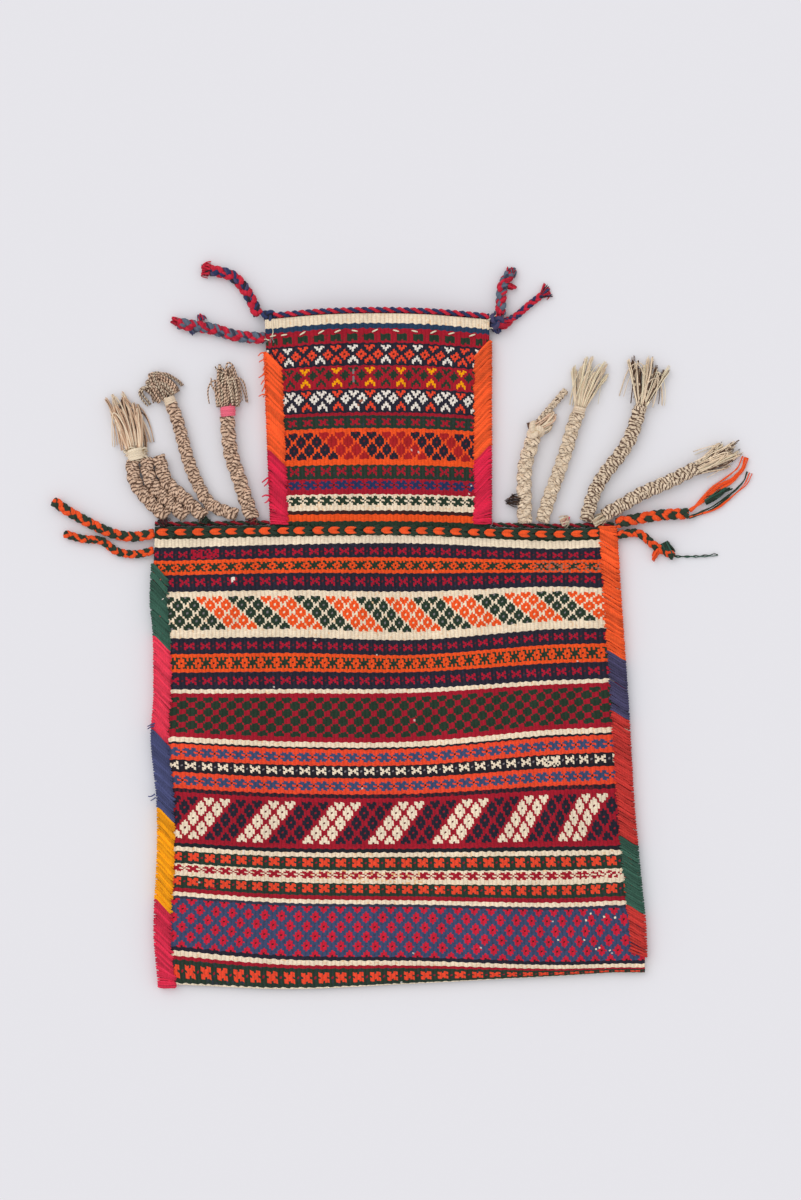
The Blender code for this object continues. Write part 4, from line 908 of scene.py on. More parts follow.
def brickOrNavy(s, j):
    k = np.floor((s - j - 12) / 16) % 2 == 0
    k = np.where(s - j < 12, True, np.where(s - j >= 92, s - j >= 100, k))
    return np.where(k, "navy", "rust"), np.where(k, "maroon", "")


def navyCrosses(top, bottom, rows, margin):
    return crosses(top, bottom, rows, margin, "navy", "rose", "cross", "maroon", "slate")


def blueWings(top, bottom):
    return crosses(top, bottom, 9, 2, "orangeRed", "blue", "wing", "brown", "orange")


def greenBolds(top, bottom, rows, margin):
    return crosses(top, bottom, rows, margin, "darkGreen", "orangeRed", "bold", "crimson", "slate")


def ivoryLine(top, bottom, rows):
    return plain(top, bottom, rows, "ivory", "peach")


shapes = {
    "star": ("##.#.##", ".#####.", "..###..", ".#####.", "##.#.##"),
    "tallStar": ("##.#.##", ".#.#.#.", ".#####.", "..###..", ".#####.", ".#.#.#.", "##.#.##"),
    "cross": ("#...#", "##.##", ".###.", "##.##", "#...#"), "bold": ("##.##", "#####", ".###.", "#####", "##.##"),
    "wing": (".##.##.", "#######", "..###..", "#######", ".##.##."), "short": ("##.##", ".###.", ".###.", "##.##"),
    "foot": ("#####", "#####", "#####", "##.##"),
    "flower": ("##.##", ".###.", "..#..", ".....", ".....", "..#..", ".###.", "##.##", "#...#"),
    "even": (".....", ".....", "..#..", ".###.", "#####", ".###.", "..#..", ".....", "....."),
    "high": (".....", "..#..", ".###.", "#####", ".###.", "..#..", ".....", ".....", "....."),
}
# Bands from the top down: first and last row on the photograph, woven rows, and what fills them.
body["bands"] = (
    plain(0, 5.8, 6, "darkGreen", "brown"), plain(5.8, 10.1, 4, "ivory"), navyCrosses(10.1, 17.5, 10, 3),
    crosses(17.5, 25.7, 9, 2, "orange", "darkGreen", "star", "brown", "orangeRed"),
    navyCrosses(25.7, 35.2, 10, 2), ivoryLine(35.2, 38.1, 3),
    lattice(38.1, 56, 17, "ivory", slanted(-1, "orange", "darkGreen", "bone", "flint", -1), "peach"),
    ivoryLine(56, 60.4, 4), navyCrosses(60.4, 68.9, 11, 3),
    crosses(68.9, 78.7, 11, 2, "orange", "darkGreen", "tallStar", "brown", "orangeRed"),
    navyCrosses(78.7, 88, 11, 3), ivoryLine(88, 90.2, 2), plain(90.2, 92.5, 3, "crimson"),
    lattice(92.5, 113.2, 21, "crimson", allOf("darkGreen"), "rose", (2, 2, 1, -1, -1)),
    plain(113.2, 115.8, 3, "crimson"), ivoryLine(115.8, 118.5, 3), plain(118.5, 119.6, 1, "black"),
    blueWings(119.6, 128.3), crosses(128.3, 135, 8, 1, "black", "ivory", "cross", "flint", "brown"),
    blueWings(135, 143.7), plain(143.7, 145.8, 2, "black", "crimson"), plain(145.8, 148, 2, "crimson"),
    lattice(148, 170.7, 25, "crimson", slanted(1, "ivory", "navy", "maroon", "crimson"), "maroon",
            (2, 2, 1, 1, 0, -1, -1)),
    plain(170.7, 173.3, 3, "crimson", "maroon"), plain(173.3, 175.4, 2, "black", "darkGreen"),
    ivoryLine(175.4, 177.8, 2), greenBolds(177.8, 185.3, 8, 1),
    crosses(185.3, 192.8, 9, 1, "ivory", "crimson", "wing", "crimson", "peach"), greenBolds(192.8, 199.6, 8, 1),
    plain(199.6, 201.8, 3, "crimson", "maroon"), ivoryLine(201.8, 204, 2), plain(204, 205.5, 2, "slate"),
    lattice(205.5, 232.5, 31, "blue", allOf("cherry", "brown"), "slate", (2, 1, 1, 0, -1, -1, -1)),
    plain(232.5, 234.6, 2, "navy"), ivoryLine(234.6, 237.1, 3), plain(237.1, 238.7, 2, "crimson"),
    greenBolds(238.7, 247.2, 9, 2), plain(247.2, 248, 1, "ivory"),
)
neck["bands"] = (
    ivoryLine(0, 5.2, 4), plain(5.2, 8, 3, "ink", "slate"), plain(8, 10.8, 2, "crimson"),
    crosses(10.8, 14.6, 4, 0, "crimson", "darkGreen", "foot"), plain(14.6, 15.8, 1, "crimson"),
    plain(15.8, 16.9, 1, "navy"),
    opened(16.9, 26.8, ("white", "orangeRed"), "orangeRed", "navy", "brown", "even", "slate"),
    plain(26.8, 27.9, 1, "navy"), plain(27.9, 29, 1, "crimson"),
    opened(29, 39.3, ("darkGreen", "yellow"), "darkGreen", "crimson", None, "high", "rust"),
    plain(39.3, 40.4, 1, "crimson"), plain(40.4, 41.5, 1, "navy"),
    opened(41.5, 52.2, ("white", "orangeRed"), "white", "navy", "navy", "high", "slate"),
    plain(52.2, 53.3, 1, "navy"), plain(53.3, 55, 2, "crimson", "maroon"),
    crosses(55, 61.8, 8, 2, "darkGreen", "crimson", "short", None, "slate"),
    plain(61.8, 63.8, 2, "orange", "brick"),
    lattice(63.8, 78.5, 13, "orange", brickOrNavy, "brick"), plain(78.5, 81.6, 3, "orange"),
    crosses(81.6, 89.2, 8, 1, "darkGreen", "crimson", "cross", None, "slate"),
    crosses(89.2, 97.5, 9, 1, "crimson", "navyBlue", "wing", "brown", "rose"),
    crosses(97.5, 106.2, 9, 1, "ivory", "darkGreen", "wing", "darkGreen", "peach"), plain(106.2, 108.3, 2, "brown"),
    plain(108.3, 112, 4, "orange"), plain(112, 114, 2, "darkGreen"),
)
# Wear: dye, columns, rows and how many of the stitches there.
body["wear"] = (
    ("rose", 19, 33, 11.4, 16.6, 0.55), ("faded", 195, 230, 18, 25.5, 0.25), ("bone", 192, 225, 206, 228, 0.014),
    ("ivory", 205, 230, 186, 192, 0.22), ("peach", 75, 130, 185.5, 192.5, 0.10),
    ("ivory", 193, 201, 129.4, 134.4, 0.6),
    ("white", 41.5, 43, 175.6, 177.6, 1.0), ("white", 40, 42, 28, 30, 0.6), ("crimson", 24, 29, 198, 199, 0.8),
)
neck["wear"] = (("flint", 46, 47.2, 30, 36.5, 0.8), ("faded", 48, 52, 46, 50, 0.35), ("flint", 0, 5, 9, 13, 0.4))


# The weave's unevenness: how far stitches end past their row, how high ribs and swells stand, how far in
# from the edges they begin, and shares and strengths of off-colour stitches.
weaving = {"sway": 0.26, "jitter": 0.20, "rib": 0.00022, "swell": 0.00030, "hem": 0.02, "specks": 0.06,
           "speckTone": (0.2, 0.6), "warp": 0.22, "warpTone": (0.3, 1.0), "flecks": 0.0004, "tone": 0.09}


def rowEdges(bands):
    edges = [bands[0]["span"][0]]
    for band in bands:
        low, high = band["span"]
        edges += [low + (high - low) * (k + 1) / band["rows"] for k in range(band["rows"])]
    return np.array(edges)


def columnEdges(count):
    return np.concatenate([[0], np.arange(count) + 0.5, [count]])


def placeColumns(part, rows):
    # Where each woven column's edge lies across each row's edge.
    across = part["columns"]
    v, *leans = zip(*part["leans"])
    sampled = [np.interp(rows, v, lean) for lean in leans]
    stations = np.concatenate([[0], part["stations"], [across]])
    dense = np.linspace(0, across, across * 2 + 1)
    return np.array([np.interp(columnEdges(across), dense + np.interp(dense, stations, [0, *lean, 0]), dense)
                     for lean in zip(*sampled)])


def paintBands(bands, across, seed):
    # The weave's chart: one colour for each stitch.
    r = dice(seed)
    i = np.arange(across + 1)[None]
    near, other = (i + 4) % 8 - 4, i % 8 - 4
    blocks = []
    for band in bands:
        n = band["rows"]
        j = np.arange(n)[:, None]
        names = np.full((n, across + 1), band["ground"], dtype="<U12")

        def stamp(chart, offset, top, dye):
            for row, line in enumerate(chart):
                if top + row < n:
                    reach = len(line) // 2
                    mask = np.array([abs(d) <= reach and line[int(d) + reach] == "#" for d in offset])
                    names[top + row][mask] = dye

        if "motif" in band:
            chart = shapes[band["shape"]]
            stamp(chart, near[0], band["margin"], band["motif"])
            if band["dot"]:
                names[band["margin"] + len(chart) // 2][near[0] == -4] = band["dot"]
        if "flowers" in band:
            for offset, dye in zip((0, 8), band["flowers"]):
                stamp(shapes["flower"], (i[0] - offset + 8) % 16 - 8, 0, dye)
            stamp(shapes[band["diamondShape"]], other[0], 0, band["diamond"])
            if band["dotted"]:
                names[4 if band["diamondShape"] == "even" else 3][other[0] == 0] = band["dotted"]
        if "pick" in band:
            half = np.array(band["half"])
            tall = 2 * len(half) - 2
            for di, dj in ((near, (j + tall // 2) % tall - tall // 2), (other, j % tall - tall // 2)):
                di, dj = np.broadcast_arrays(di, dj)
                inside = np.abs(di) <= half[np.abs(dj)]
                fill, dot = band["pick"](i - di, (j - dj) * 8 // tall)
                names = np.where(inside, fill, names)
                names = np.where(inside & (di == 0) & (dj == 0) & (dot != ""), dot, names)
        colour = np.array([dyes[name] for name in names.ravel()]).reshape(n, across + 1, 3)
        ground = (names == band["ground"])[..., None]
        size = n, across + 1
        speck = (r.uniform(size=size) < weaving["specks"])[..., None]
        speck = speck * r.uniform(*weaving["speckTone"], size)[..., None]
        warp = np.where(i[0] % 2 == 0, weaving["warp"], 0.0)[None, :, None]
        warp = warp * r.uniform(*weaving["warpTone"], size)[..., None]
        shown = (dyes[band["show"]] - colour) * np.minimum(1, speck + warp)
        blocks.append(np.where(ground, colour + shown, colour))
    colour = np.concatenate(blocks)
    rows, columns = colour.shape[:2]
    u, v = np.arange(columns), np.arange(rows)
    tone = 1 + 0.05 * ripple(u, seed + 1, 3.0)[None] + 0.04 * ripple(v, seed + 2, 2.0)[:, None]
    tone = tone + weaving["tone"] * r.uniform(-1, 1, (rows, columns))
    tone = tone + 0.05 * ripple(u[None] * 0.13 + v[:, None] * 0.07, seed + 3, 1.0)
    return colour * tone[..., None]


def wearCloth(colour, places, rows, wear, seed):
    r = dice(seed)
    p = (places[:-1, :-1] + places[:-1, 1:] + places[1:, :-1] + places[1:, 1:]) / 4
    v = np.broadcast_to(((rows[1:] + rows[:-1]) / 2)[:, None], p.shape)
    for name, left, right, top, bottom, share in wear:
        mask = (p > left) & (p < right) & (v > top) & (v < bottom) & (r.uniform(size=p.shape) < share)
        colour[mask] = dyes[name]
    flecks = r.uniform(size=p.shape) < weaving["flecks"]
    colour[flecks] = colour[flecks] * 0.4 + dyes["white"] * 0.6
    return colour


def scallop(rows, columns, seed):
    # Stitches end a little above or below the row, by turns.
    jitter = dice(seed).uniform(-weaving["jitter"], weaving["jitter"], (rows, columns))
    sway = weaving["sway"] * np.cos(np.pi / 2 * np.arange(columns) + 0.8)[None] + jitter
    sway[0] = 0
    sway[-1] = 0
    return sway


def relief(x, y, columns, seed):
    rib = weaving["rib"] * np.where(np.arange(columns) % 2, -1, 1)[None]
    swell = weaving["swell"] * (ripple(y * 1000, seed, 9.0) + ripple(x * 1000 + 0.4 * y * 1000, seed + 1, 16.0))
    return (rib + swell) * ease(edgeDistance(x, y) / weaving["hem"])


def placeOn(part, h, share, line=None):
    # Where a point lies that is a height h up a part of the bag and a share of the way across it.
    y = part["low"] + (part["high"] - part["low"]) * h + 0 * share
    for _ in range(3):
        x = part["left"](y) * (1 - share) + part["right"](y) * share
        y = (line or part["line"])(h, x)
    return x, y


def weave(part, seeds):
    # The front of one part, stitch by stitch: its points and its tints.
    rows = rowEdges(part["bands"])
    places = placeColumns(part, rows)
    columns = places.shape[1]
    shift = rows[:, None] + scallop(len(rows), columns, seeds[0]) * np.gradient(rows)[:, None]
    x, y = placeOn(part, 1 - shift / part["rows"], places / part["columns"])
    z = frontHeight(x, y) + relief(x, y, columns, seeds[1])
    tints = wearCloth(paintBands(part["bands"], part["columns"], seeds[2]), places, rows, part["wear"], seeds[3])
    return np.stack([x, y, z], -1), tints


def stitchMap(index, part):
    across, down = columnEdges(part["columns"])[None] - 0.5, np.arange(len(index))[:, None]
    return np.stack(np.broadcast_arrays(across, down), -1)


def coarseMap(index, size):
    rows, columns = index.shape
    return np.stack(np.broadcast_arrays(np.arange(columns)[None] * size, np.arange(rows)[:, None] * size), -1)


def foldRows(x, thickness, angles):
    # The bend at the bottom, as rows of points that lie this deep in the cloth.
    line, radius = bodyLine(0.0, x), foldRadius(x)
    base, size = backHeight(x, line + radius), radius - thickness
    return [np.column_stack([x, line + radius - size * math.sin(t), base + radius + size * math.cos(t)])
            for t in angles]


def coarseColumns(left, middle, right):
    # Columns across the body that meet the neck's two corners exactly.
    span = float(bodyRight(shoulderY) - bodyLeft(shoulderY))
    a = float(neckLeft(shoulderY) - bodyLeft(shoulderY)) / span
    b = float(neckRight(shoulderY) - bodyLeft(shoulderY)) / span
    shares = np.concatenate([np.linspace(0, a, left + 1), np.linspace(a, b, middle + 1)[1:],
                             np.linspace(b, 1, right + 1)[1:]])
    right = left + middle
    return shares, left, right, (shares[left:right + 1] - shares[left]) / (shares[right] - shares[left])


def aboveFold(h, x):
    return (bodyLine(0.0, x) + foldRadius(x)) * (1 - h) + bodyLine(1.0, x) * h


def wallRows(part, shares, heights, surface, lift=0.0):
    line = aboveFold if part is body else None
    rows = [placeOn(part, h, shares, line) for h in heights]
    return [np.column_stack([x, y, surface(x, y) + lift]) for x, y in rows]


class Cloth:
    def __init__(self):
        self.points, self.faces, self.tints, self.maps, self.count = [], [], [], [], 0

    def grid(self, points):
        points = np.array(points)
        rows, columns = points.shape[:2]
        self.points.append(points.reshape(-1, 3))
        index = self.count + np.arange(rows * columns).reshape(rows, columns)
        self.count += rows * columns
        return index

    def cells(self, index, tints, maps):
        quads = np.stack([index[:-1, :-1], index[:-1, 1:], index[1:, 1:], index[1:, :-1]], -1).reshape(-1, 4)
        spots = np.stack([maps[:-1, :-1], maps[:-1, 1:], maps[1:, 1:], maps[1:, :-1]], -2).reshape(-1, 8)
        self.faces += quads.tolist()
        self.tints.append(np.broadcast_to(tints, (index.shape[0] - 1, index.shape[1] - 1, 3)).reshape(-1, 3))
        self.maps += spots.tolist()

    def sew(self, one, two, dye):
        # Closes the gap between two edges with triangles.
        every = np.concatenate(self.points)
        one, two = list(one), list(two)
        reach = []
        for line in (one, two):
            step = np.linalg.norm(np.diff(every[line], axis=0), axis=1)
            reach.append(np.concatenate([[0], np.cumsum(step)]) / step.sum())
        a = b = 0
        while a < len(one) - 1 or b < len(two) - 1:
            if b == len(two) - 1 or (a < len(one) - 1 and reach[0][a + 1] <= reach[1][b + 1]):
                face = [one[a], two[b], one[a + 1]]
                a += 1
            else:
                face = [one[a], two[b], two[b + 1]]
                b += 1
            if len(set(face)) == 3:
                self.faces.append(face)
                self.tints.append(dyes[dye][None])
                self.maps.append([0.0] * 6)


web = Cloth()
points, tints = weave(body, (11, 21, 31, 32))
under = foldRows(points[-1, :, 0], 0, np.linspace(math.pi / 2, math.pi, 6)[1:])
front = web.grid(np.concatenate([points, np.array(under)]))
web.cells(front, np.concatenate([tints, tints[-5:][::-1]]), stitchMap(front, body))
topX = points[0, :, 0]
points, tints = weave(neck, (12, 22, 41, 42))
frontNeck = web.grid(points)
cornerLeft, cornerRight = (int(np.argmin(np.abs(topX - x))) for x in (neckLeft(shoulderY), neckRight(shoulderY)))
frontNeck[-1, 0], frontNeck[-1, -1] = front[0, cornerLeft], front[0, cornerRight]
web.cells(frontNeck, tints, stitchMap(frontNeck, neck))
web.sew(frontNeck[-1], front[0, cornerLeft:cornerRight + 1], "darkGreen")

# The back: plain bands with narrow lines between, woven a little coarser.
backStripes = (("darkGreen", 22), ("crimson", 3), ("ivory", 2), ("crimson", 3), ("navy", 20), ("orange", 3),
               ("navy", 3), ("crimson", 20), ("ivory", 2), ("blue", 18), ("crimson", 3), ("darkGreen", 3))


def stripeTints(count, columns, start, seed):
    order = [name for name, size in backStripes for _ in range(size)]
    colour = np.array([dyes[order[(k + start) % len(order)]] for k in range(count)])
    colour = colour[:, None] * np.ones((1, columns, 1))
    tone = 0.10 * dice(seed).uniform(-1, 1, (count, columns, 1))
    return colour * (1 + tone + 0.06 * ripple(np.arange(columns), seed, 4)[None, :, None])


shares, left, right, middle = coarseColumns(20, 36, 23)
back = web.grid(wallRows(body, shares, np.linspace(0, 1, 88), backHeight))
back[0, 0], back[0, -1] = front[-1, 0], front[-1, -1]
backNeck = web.grid(wallRows(neck, middle, np.linspace(0, 1, 40)[1:], backHeight))
backNeck = np.vstack([back[-1, left:right + 1][None], backNeck])
for index, start, seed in ((back, 0, 51), (backNeck, 87, 52)):
    web.cells(index, stripeTints(index.shape[0] - 1, index.shape[1] - 1, start, seed), coarseMap(index, 3.0))
web.sew(front[-1], back[0], "darkGreen")
backEnds = back[-1, :left + 1], back[-1, right:]

# The lining side of both walls.
shares, left, right, middle = coarseColumns(10, 18, 12)
inner = wallRows(body, shares, np.linspace(1, 0, 32), frontHeight, -bag["cloth"])
inner += foldRows(inner[-1][:, 0], bag["cloth"], np.linspace(0, math.pi, 7)[1:-1])
inner = web.grid(inner + wallRows(body, shares, np.linspace(0, 1, 32), backHeight, bag["cloth"]))
frontIn = web.grid(wallRows(neck, middle, np.linspace(1, 0, 16)[:-1], frontHeight, -bag["cloth"]))
frontIn = np.vstack([frontIn, inner[0, left:right + 1][None]])
backIn = web.grid(wallRows(neck, middle, np.linspace(0, 1, 16)[1:], backHeight, bag["cloth"]))
backIn = np.vstack([inner[-1, left:right + 1][None], backIn])
for index in (inner, frontIn, backIn):
    web.cells(index, dyes["brown"], coarseMap(index, 6.0))

# Closing the sheet's edges.
for one, two, dye in (
        (frontNeck[0], frontIn[0], "ivory"), (frontNeck[:, 0], frontIn[:, 0], "navy"),
        (frontNeck[:, -1], frontIn[:, -1], "navy"), (front[0, :cornerLeft + 1], inner[0, :left + 1], "darkGreen"),
        (front[0, cornerRight:], inner[0, right:], "darkGreen"),
        (np.concatenate([front[:, 0], back[1:, 0]]), inner[:, 0], "ivory"),
        (np.concatenate([front[:, -1], back[1:, -1]]), inner[:, -1], "ivory"),
        (backEnds[0], inner[-1, :left + 1], "darkGreen"), (backEnds[1], inner[-1, right:], "darkGreen"),
        (backNeck[:, 0], backIn[:, 0], "navy"), (backNeck[:, -1], backIn[:, -1], "navy"),
        (backNeck[-1], backIn[-1], "ivory")):
    web.sew(one, two, dye)

sizes = [len(face) for face in web.faces]
maps = np.concatenate([np.array(spots, float) for spots in web.maps])
wovenCloth = tintedMesh("wovenCloth", np.concatenate(web.points), web.faces,
                        np.repeat(np.concatenate(web.tints), sizes, 0), maps, clothFinish())
shell = bmesh.new()
shell.from_mesh(wovenCloth.data)
bmesh.ops.delete(shell, geom=[v for v in shell.verts if not v.link_faces], context="VERTS")
bmesh.ops.recalc_face_normals(shell, faces=shell.faces)
openEdges = sum(1 for edge in shell.edges if not edge.is_manifold)
shell.to_mesh(wovenCloth.data)
shell.free()
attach(wovenCloth, "root")
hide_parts("woven_cloth")
print("cloth made, open edges", openEdges, "faces", len(wovenCloth.data.polygons))

# Wrapped bindings: a loop of yarn round the seam every couple of millimetres, laid aslant.
# Each loop differs a little in reach, level and thickness.
wraps = {"reach": 0.0118, "pitch": 0.00205, "top": 0.00825, "bottom": 0.00130, "yarn": 0.00124, "ease": 0.013,
         "slant": 0.0130, "reachVary": (-0.10, 0.06), "shift": 0.0003, "yarnVary": (-0.20, 0.10), "flat": 0.85,
         "sway": 0.00030, "tone": 0.26}
wrapDyes = {"green": "bottleGreen", "blue": "denim", "crimson": "wine", "orange": "hotOrange", "red": "brick",
            "neck_binding_left_pink": "magenta", "neck_binding_right_pink": "magenta",
            "binding_right_blue": "duskBlue"}
# A loop's section, from the inboard end over the top, down the outer side and back below.
over = np.array([1.0, 0.9, 0.74, 0.58, 0.42, 0.26, 0.1])
overFall = 0.0004 * np.sin(np.pi * over) - 0.0006 * (over > 0.95)
outward = (-0.0007, -0.00125, -0.0014, -0.00125, -0.0007)
lean = np.concatenate([np.zeros(7), np.linspace(0, -0.5, 5), np.full(3, -0.5), [-0.35, -0.15]])


def wrapLoop(yarns, edgeOf, side, y, slant, dye, r, close=1.0):
    reach = wraps["reach"] * (1 + r.uniform(*wraps["reachVary"]))
    top, low = wraps["top"] + r.uniform(-wraps["shift"], wraps["shift"]), wraps["bottom"]
    mid = (top + low) / 2
    below = np.array([0.2, 0.6, 1.0, 1.03, 1.03])
    inboard = np.concatenate([over * reach, outward, below * reach])
    z = np.concatenate([top + overFall, [top - 0.0005, top - 0.0017, mid, low + 0.0017, low + 0.0005],
                        np.full(3, low), [low + 0.0018, top - 0.0018]])
    z = mid + (z - mid) * close
    sway = wraps["sway"] * ripple(inboard * 1000, int(r.integers(9999)), 3.0)
    place = y - slant * np.clip(inboard / wraps["reach"], 0, 1) + sway + lean * wraps["pitch"]
    path = np.column_stack([edgeOf(place) - side * inboard, place, z])
    tone = 1 + wraps["tone"] * r.uniform(-1, 1) + 0.12 * ripple(inboard * 1000, int(r.integers(9999)), 2.0)
    fat = wraps["yarn"] * (1 + r.uniform(*wraps["yarnVary"]))
    yarns.lay(path, fat, dye * tone[:, None], flat=wraps["flat"], ref=(0.0, 1.0, 0.0), closed=True)


stray = {"level": 0.0088, "edge": 0.003, "sink": 0.35, "arch": 0.0006, "taper": 0.4}


def strayEnd(yarns, x, y, tint, heading, length, thick, seed):
    # A frayed end of yarn that lies off a binding.
    t = np.linspace(0, 1, 9)
    angle = math.radians(heading) + 0.5 * ripple(t, seed, 0.4)
    px = x + np.concatenate([[0], np.cumsum(np.cos(angle[1:]) * length / 8)])
    py = y + np.concatenate([[0], np.cumsum(np.sin(angle[1:]) * length / 8)])
    level = stray["level"]
    pz = level + stray["arch"] * np.sin(np.pi * t) - (level - stray["edge"]) * t ** 2 * stray["sink"]
    yarns.lay(np.column_stack([px, py, pz]), thick * (1 - stray["taper"] * t), dyes[tint], sides=5)


# Loose ends on the bindings: place, dye, heading, length, thickness.
strays = {
    "neck_binding_left_orange": [(-0.1065 + 0.0006 * (k % 3), 0.2370 - 0.0042 * k, "hotOrange", 200 + 17 * (k % 4),
                                  0.007, 0.0007) for k in range(9)],
    "neck_binding_left_pink": [
        (-0.1035, 0.1365, "wine", 200, 0.007, 0.0009), (-0.1040, 0.1345, "wine", 230, 0.006, 0.0008),
        (-0.1035, 0.1225, "wine", 190, 0.006, 0.0009), (-0.1030, 0.1205, "pink", 215, 0.006, 0.0008)],
    "binding_left_blue": [
        (-0.1950, -0.0600, "denim", 200, 0.0065, 0.0007), (-0.1955, -0.0620, "denim", 215, 0.006, 0.0007)],
    "binding_left_yellow": [
        (-0.1950, -0.1165, "denim", 190, 0.006, 0.0007), (-0.1945, -0.1190, "denim", 225, 0.005, 0.0006)],
    "binding_left_green": [
        (-0.1900, 0.0560, "pink", 250, 0.004, 0.0005), (-0.1880, 0.0400, "white", 200, 0.003, 0.0005),
        (-0.1910, 0.0260, "pink", 300, 0.004, 0.0005), (-0.1890, 0.0120, "rose", 240, 0.004, 0.0005)],
}
# Seams: node prefix, edge, side, runs from the top with their shares, seed, slant and what stays bare below.
seams = (
    ("binding_left", bodyLeft, -1, (("green", 70), ("pink", 92), ("blue", 76), ("yellow", 90), ("crimson", 84)),
     300, wraps["slant"], 0.0),
    ("binding_right", bodyRight, 1, (("orange", 134), ("blue", 59), ("red", 125), ("green", 68), ("brick", 59)),
     320, -0.0080, 0.0115),
    ("neck_binding_left", neckLeft, -1, (("orange", 95), ("pink", 73)), 340, wraps["slant"], 0.0),
    ("neck_binding_right", neckRight, 1, (("orange", 104), ("pink", 79)), 350, wraps["slant"], 0.0),
)
# Loops round the bottom left corner: how far below the binding's end, and how flat.
cornerLoops = ((0.0, 0.92), (0.0007, 0.66), (0.0012, 0.36))
for prefix, edgeOf, side, runs, seed, slant, bare in seams:
    top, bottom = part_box(f"{prefix}_{runs[0][0]}")[1][1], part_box(f"{prefix}_{runs[-1][0]}")[0][1]
    y = top
    for order, (name, share) in enumerate(runs):
        node = f"{prefix}_{name}"
        slot = "brick_yarn" if name == "red" else f"{name}_yarn"
        dye = dyes[wrapDyes.get(node, wrapDyes.get(name, name))]
        end = y - (top - bottom) * share / sum(run[1] for run in runs)
        r = dice(seed + order)
        yarns = Yarns()
        count = max(3, int(round((y - end) / wraps["pitch"])))
        for k in range(count):
            place = y + (end - y) * (k + 0.5) / count + r.uniform(-wraps["shift"], wraps["shift"])
            if place < bottom + bare:
                continue
            square = ease((top - place) / wraps["ease"]) if slant < 0 else 1.0
            square = square * ease((place - bottom) / (2 * wraps["ease"]))
            wrapLoop(yarns, edgeOf, side, place, slant * square, dye, r)
        if node == "binding_left_crimson":
            for drop, close in cornerLoops:
                wrapLoop(yarns, edgeOf, side, bottom - drop, 0.0, dye, r, close)
        for loose in strays.get(node, ()):
            strayEnd(yarns, *loose, int(r.integers(9999)))
        yarns.piece(camel(node), wool[slot], [node])
        y = end
print("bindings made")


# Shares of a twisted cord's radius: plies and yarns out from the middle, a yarn's thickness and its lowest level.
plying = {"ply": 0.46, "yarn": 0.26, "fat": 0.33, "floor": 0.36, "back": 0.8}


def twoPly(yarns, path, radius, pitch, tints, seed):
    # Two plies laid round each other, each of three yarns.
    far = lengthsAlong(path)
    side, up = frameAlong(path)
    for k, tint in enumerate(tints):
        spin = (turn * far / pitch + np.pi * k)[:, None]
        centre = path + radius * plying["ply"] * (side * np.cos(spin) + up * np.sin(spin))
        for q in range(3):
            small = (-turn * far / (pitch * plying["back"]) + turn * q / 3)[:, None]
            line = centre + radius * plying["yarn"] * (side * np.cos(small) + up * np.sin(small))
            line[:, 2] = np.maximum(line[:, 2], radius * plying["floor"])
            colour = dyes[tint] * (1 + 0.12 * ripple(far, seed + k * 5 + q, 0.006))[:, None]
            yarns.lay(line, radius * plying["fat"] * (1 + 0.08 * ripple(far, seed + q, 0.01)), colour)


# Cream running stitches below the mouth, by column, and loose cream ends: place, heading, length.
stitches = {"row": 9.3, "half": 1.6, "above": 0.0006, "arch": 0.0005, "fat": 0.00062, "endLevel": 0.0102,
            "endFall": 0.002, "endFat": 0.0005,
            "columns": (4, 10, 20, 30, 38.8, 47.9, 58.8, 70, 80, 90, 99.6, 110.8), "ends": (
    (0.0705, 0.2620, 60, 0.009), (0.0712, 0.2605, 110, 0.008), (0.0700, 0.2560, 20, 0.007),
    (-0.1030, 0.2470, 160, 0.006), (-0.1015, 0.2500, 100, 0.006))}
yarns = Yarns()
r = dice(610)
for p in stitches["columns"]:
    row = stitches["row"] + 0.9 * r.uniform(-1, 1) * np.linspace(-1, 1, 7)
    columns = p + np.linspace(-stitches["half"], stitches["half"], 7)
    x, y = placeOn(neck, 1 - row / neck["rows"], columns / neck["columns"])
    z = frontHeight(x, y) + stitches["above"] + stitches["arch"] * np.sin(np.pi * np.linspace(0, 1, 7))
    fat = stitches["fat"] * (0.6 + 0.5 * np.sin(np.pi * np.linspace(0.05, 0.95, 7)))
    yarns.lay(np.column_stack([x, y, z]), fat, dyes["bone"])
t = np.linspace(0, 1, 9)
for px, py, heading, length in stitches["ends"]:
    angle = math.radians(heading) + 0.9 * ripple(t, int(r.integers(9999)), 0.4)
    x, y = px + np.cumsum(np.cos(angle)) * length / 9, py + np.cumsum(np.sin(angle)) * length / 9
    z = stitches["endLevel"] - stitches["endFall"] * t
    yarns.lay(np.column_stack([x, y, z]), stitches["endFat"] * (1 - 0.5 * t), dyes["bone"], sides=5)
yarns.piece("runningStitches", wool["cream_yarn"])

# The twisted cords along both lips of the mouth.
lip = {"start": 0.0072, "end": 0.0004, "pitch": 0.0112, "step": 0.0009, "beyond": 0.0029, "radius": 0.0025}
start, end = float(neckLeft(mouthY)) + lip["start"], float(neckRight(mouthY)) - lip["end"]
x = np.linspace(start, end, int((end - start) / lip["step"]))
y = neckLine(1.0, x)
for name, z, tints, seed in (
        ("mouth_cord_front", frontHeight(x, y) - bag["cloth"] / 2, ("cherry", "navyBlue"), 400),
        ("mouth_cord_back", backHeight(x, y) + bag["cloth"] / 2, ("navyBlue", "cherry"), 410)):
    yarns = Yarns()
    twoPly(yarns, np.column_stack([x, y + lip["beyond"], z]), lip["radius"], lip["pitch"], tints, seed)
    yarns.piece(camel(name), wool["crimson_yarn"], [name])

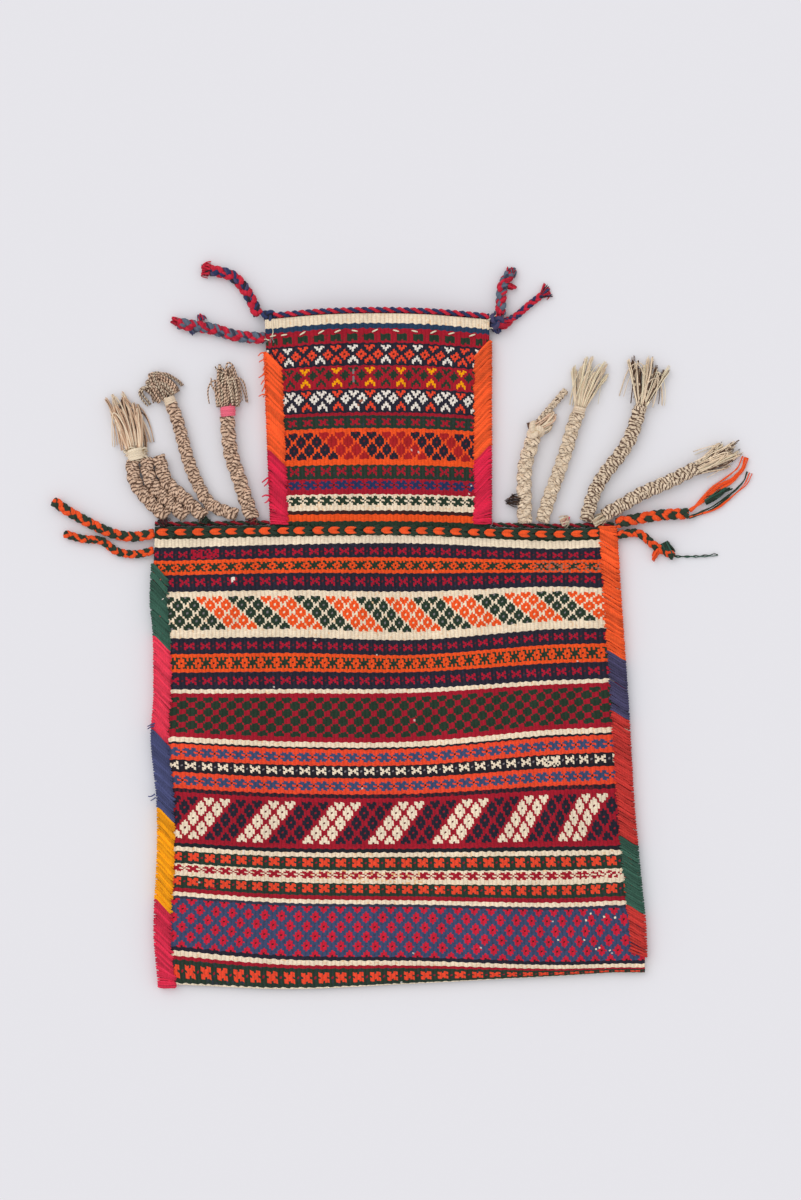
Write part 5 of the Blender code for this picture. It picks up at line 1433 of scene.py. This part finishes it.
# Chain laid over the shoulders: plump orange lobes on a dark green ground of looped yarn.
chain = {"period": 0.0138, "half": 0.0023, "fat": 0.00096, "short": 0.0128, "drop": 0.0043, "rise": 0.0010,
         "shift": 0.0012, "flat": 0.85, "tone": 0.14}
yarns = Yarns()
r = dice(500)
start, end = float(bodyLeft(shoulderY)), float(bodyRight(shoulderY)) - chain["short"]


def chainYarn(px, offset, rise, fat, tint):
    px = np.clip(px, start, end)
    middle = bodyLine(1.0, px) - chain["drop"]
    line = np.column_stack([px, middle + offset, frontHeight(px, middle) + chain["rise"] + rise])
    yarns.lay(line, fat * chain["fat"], dyes[tint] * (1 + chain["tone"] * r.uniform(-1, 1)), flat=chain["flat"])


for k in range(int((end - start) / chain["period"]) + 1):
    base = start + 0.002 + k * chain["period"] + r.uniform(-chain["shift"], chain["shift"])
    half = chain["half"] * r.uniform(0.85, 1.1)
    for sign in (-1, 1):
        for q in range(3):
            offset = sign * half * (0.25 + 0.42 * q) + 0.0004 * ripple(t, int(r.integers(9999)), 0.4)
            px = base + 0.0056 + 0.0092 * t - 0.0012 * q
            chainYarn(px, offset + sign * (0.0022 * t - 0.0010), 0.0002 * q, 0.95, "darkGreen")
        for q in range(3):
            offset = sign * half * (0.18 + 0.34 * q) * ease(t * 2.4 + 0.25)
            swell = 0.30 + 0.62 * np.sin(np.pi * np.clip(t, 0.06, 0.90)) * (0.9 + 0.3 * t)
            chainYarn(base + (0.0070 + 0.0011 * q) * t - 0.0004, offset, 0.0008 + 0.0004 * np.sin(np.pi * t),
                      swell * 0.92, "orange")
yarns.piece("shoulderChainFront", wool["orange_yarn"],
                                           ["shoulder_chain_front"])

# The back's shoulder cords, with tufts of hair caught in them: place, heading, length, dyes.
edging = {"gap": 0.0008, "beyond": 0.0024, "step": 0.0009, "in": 0.0004, "rise": 0.002, "radius": 0.0020,
          "pitch": 0.0125}
gap = bag["edge"] + edging["gap"]
fluff = {
    "shoulder_chain_back_left": (float(bodyLeft(shoulderY)), float(neckLeft(shoulderY)) - gap, (
        (-0.1860, 0.0990, (-0.5, 0.5), 0.008, ("darkHair", "black", "maroon", "darkHair", "hair")),
        (-0.1200, 0.1010, (0.6, 0.5), 0.010, ("darkHair", "faded", "rose", "darkHair", "flint")),
        (-0.1560, 0.1000, (0.2, 0.8), 0.007, ("darkGreen", "darkGreen", "bottleGreen", "darkHair")))),
    "shoulder_chain_back_right": (float(neckRight(shoulderY)) + gap, float(bodyRight(shoulderY)), (
        (0.0968, 0.1180, (-0.9, 0.2), 0.012, ("darkHair", "hair", "flint", "darkHair")),
        (0.1560, 0.0995, (0.7, 0.4), 0.016, ("bone", "cream", "bone", "fawn")),
        (0.1300, 0.1000, (0.6, 0.3), 0.009, ("bone", "cream", "candy", "fawn")))),
}
for name, (start, end, hairy) in fluff.items():
    x = np.linspace(start, end, int((end - start) / edging["step"]))
    z = backHeight(x, x * 0 + shoulderY - edging["in"]) + edging["rise"]
    yarns = Yarns()
    twoPly(yarns, np.column_stack([x, bodyLine(1.0, x) + edging["beyond"], z]), edging["radius"], edging["pitch"],
           ("crimson", "darkGreen"), 430)
    for fx, fy, heading, reach, tints in hairy:
        brush(yarns, (fx, fy, 0.0075), heading, reach, (0.004, 0.009), 20, 44, 0.00035, tints, 440 + len(tints),
              0.3, 0.5, 0.006, 5)
    yarns.piece(camel(name), wool["crimson_yarn"], [name])
print("edgings made")

print("scene ready")
